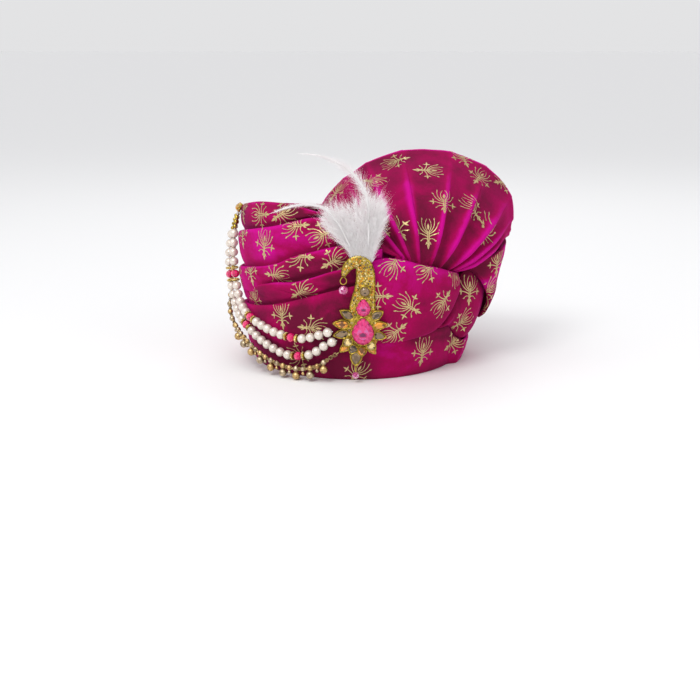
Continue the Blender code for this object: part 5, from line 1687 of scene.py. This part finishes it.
def plume():
    root = brooch_place(*PLUME_BASE) + np.array([0.0, 0.0, -1.0])
    shape = Shape()
    t = np.linspace(0, 1, 14)
    for number, (across, up) in enumerate(resample(LOCKS, LOCKS_DRAWN)):
        up = up * rng.uniform(0.90, 1.0)
        foot = PLUME_FOOT[0] + PLUME_FOOT[1] * (number / 7 - 1)
        tip_x = across * PLUME_WIDTH * 0.92
        for layer in (-1, 0, 1):
            depth = layer * PLUME_DEPTH * 0.34
            tip_z = up * PLUME_HEIGHT * (0.95 - 0.08 * abs(layer))
            path = root + np.stack([
                foot + (tip_x - foot) * t ** 1.25 + layer * 1.3 * t,
                -1.2 + depth * np.sin(np.pi * t * 0.5) + 3.0 * (1 - t) ** 4,
                tip_z * (t * 1.06 - 0.06 * t ** 2) - 5.0 * (1 - t) ** 6], -1)
            add_tube(shape, path, 0.26 - 0.20 * t, 5)
            down_lock(shape, path, 0.0, 1.0, LOCK_HAIRS,
                      lambda at: 4.0 + 6.0 * np.sin(np.pi * at ** 0.8), 0.55)
        tip = root + np.array([tip_x, -1.0, up * PLUME_HEIGHT * 0.96])
        start = root + np.array([foot, -1.0, 0.0])
        path = start + (tip - start) * np.linspace(0.40, 1.0, 8)[:, None]
        down_lock(shape, path, 0.0, 1.0, TIP_HAIRS, lambda at: 6.0 + 5.0 * at, 0.45, 0.15, 0.3)
    take_place(shape, "plume_down", [FEATHER], "plume_fluff")


def feather(name, node, rows, first, last, reach, count, vane, tilt):
    root = brooch_place(*PLUME_BASE)
    across, up = resample(rows, 60).T
    path = root + np.stack([across * PLUME_WIDTH, 0 * across - FEATHER_LIFT, up * PLUME_HEIGHT], -1)
    shape = Shape()
    t = np.linspace(0, 1, 60)
    add_tube(shape, path, 0.42 - 0.30 * t + vane * np.sin(np.pi * t ** 1.3), 8)
    down_lock(shape, path, first, last, count, reach, tilt, 0.26, 0.25)
    take_place(shape, name, [FEATHER], node)


brooch()
brooch_drops()
pearl_string("upper")
pearl_string("lower")
drop_chain()
clasp()
plume()
feather("feather_tall_fine", "feather_tall", FEATHER_TALL, 0.10, 0.96,
        lambda at: 1.6 + 12.0 * np.sin(np.pi * np.clip(at * 1.1, 0, 1)) ** 1.2 * (1 - 0.6 * at),
        1500, 0.75, 0.60)
feather("feather_side_fine", "feather_side", FEATHER_SIDE, 0.15, 0.93,
        lambda at: 8.0 * (1 - at) ** 0.8 + 1.6, 900, 0.85, 0.32)


# Stage

FLOOR_REACH = 40000.0


def stage():
    floor = Shape()
    floor.add([(x * FLOOR_REACH, y * FLOOR_REACH, 0)
               for x, y in ((-1, -1), (1, -1), (1, 1), (-1, 1))], [(0, 1, 2, 3)])
    material, tree, shader, _ = new_material("pale_floor")
    fill(tree, shader, {"Base Color": (0.9, 0.9, 0.9), "Roughness": 0.6})
    obj = floor.piece("floor", [material])
    world = bpy.data.worlds.new("studio")
    world.use_nodes = True
    tree = world.node_tree
    place = tree.nodes.new("ShaderNodeTexCoord").outputs["Generated"]
    height = new_node(tree, "ShaderNodeSeparateXYZ", {0: place}).outputs["Z"]
    sky = ramp(tree, height, ((0.0, (0.85, 0.85, 0.86)), (0.25, (0.90, 0.90, 0.91)),
                              (0.9, (0.34, 0.34, 0.36))))
    fill(tree, tree.nodes["Background"], {"Strength": 0.9, "Color": sky})
    bpy.context.scene.world = world
    bpy.context.scene.view_settings.view_transform = "Standard"
    lamps = (
        # name, place, size, power
        ("key", (-0.7, -1.2, 1.5), 0.6, 13.0),
        ("fill", (1.3, -0.9, 0.8), 0.9, 3.0),
        ("back", (0.2, 1.2, 1.4), 0.8, 4.0),
    )
    for name, place, size, power in lamps:
        lamp = bpy.data.objects.new(name, bpy.data.lights.new(name, "AREA"))
        lamp.data.size = size
        lamp.data.energy = power
        lamp.location = place
        aim = Vector((0.0, 0.0, 0.1)) - Vector(place)
        lamp.rotation_euler = aim.to_track_quat("-Z", "Y").to_euler()
        bpy.context.scene.collection.objects.link(lamp)
    sun = bpy.data.objects.new("ceiling", bpy.data.lights.new("ceiling", "SUN"))
    sun.data.energy = 1.3
    sun.data.angle = math.radians(80)
    sun.rotation_euler = (math.radians(24), math.radians(-20), 0.0)
    bpy.context.scene.collection.objects.link(sun)


stage()
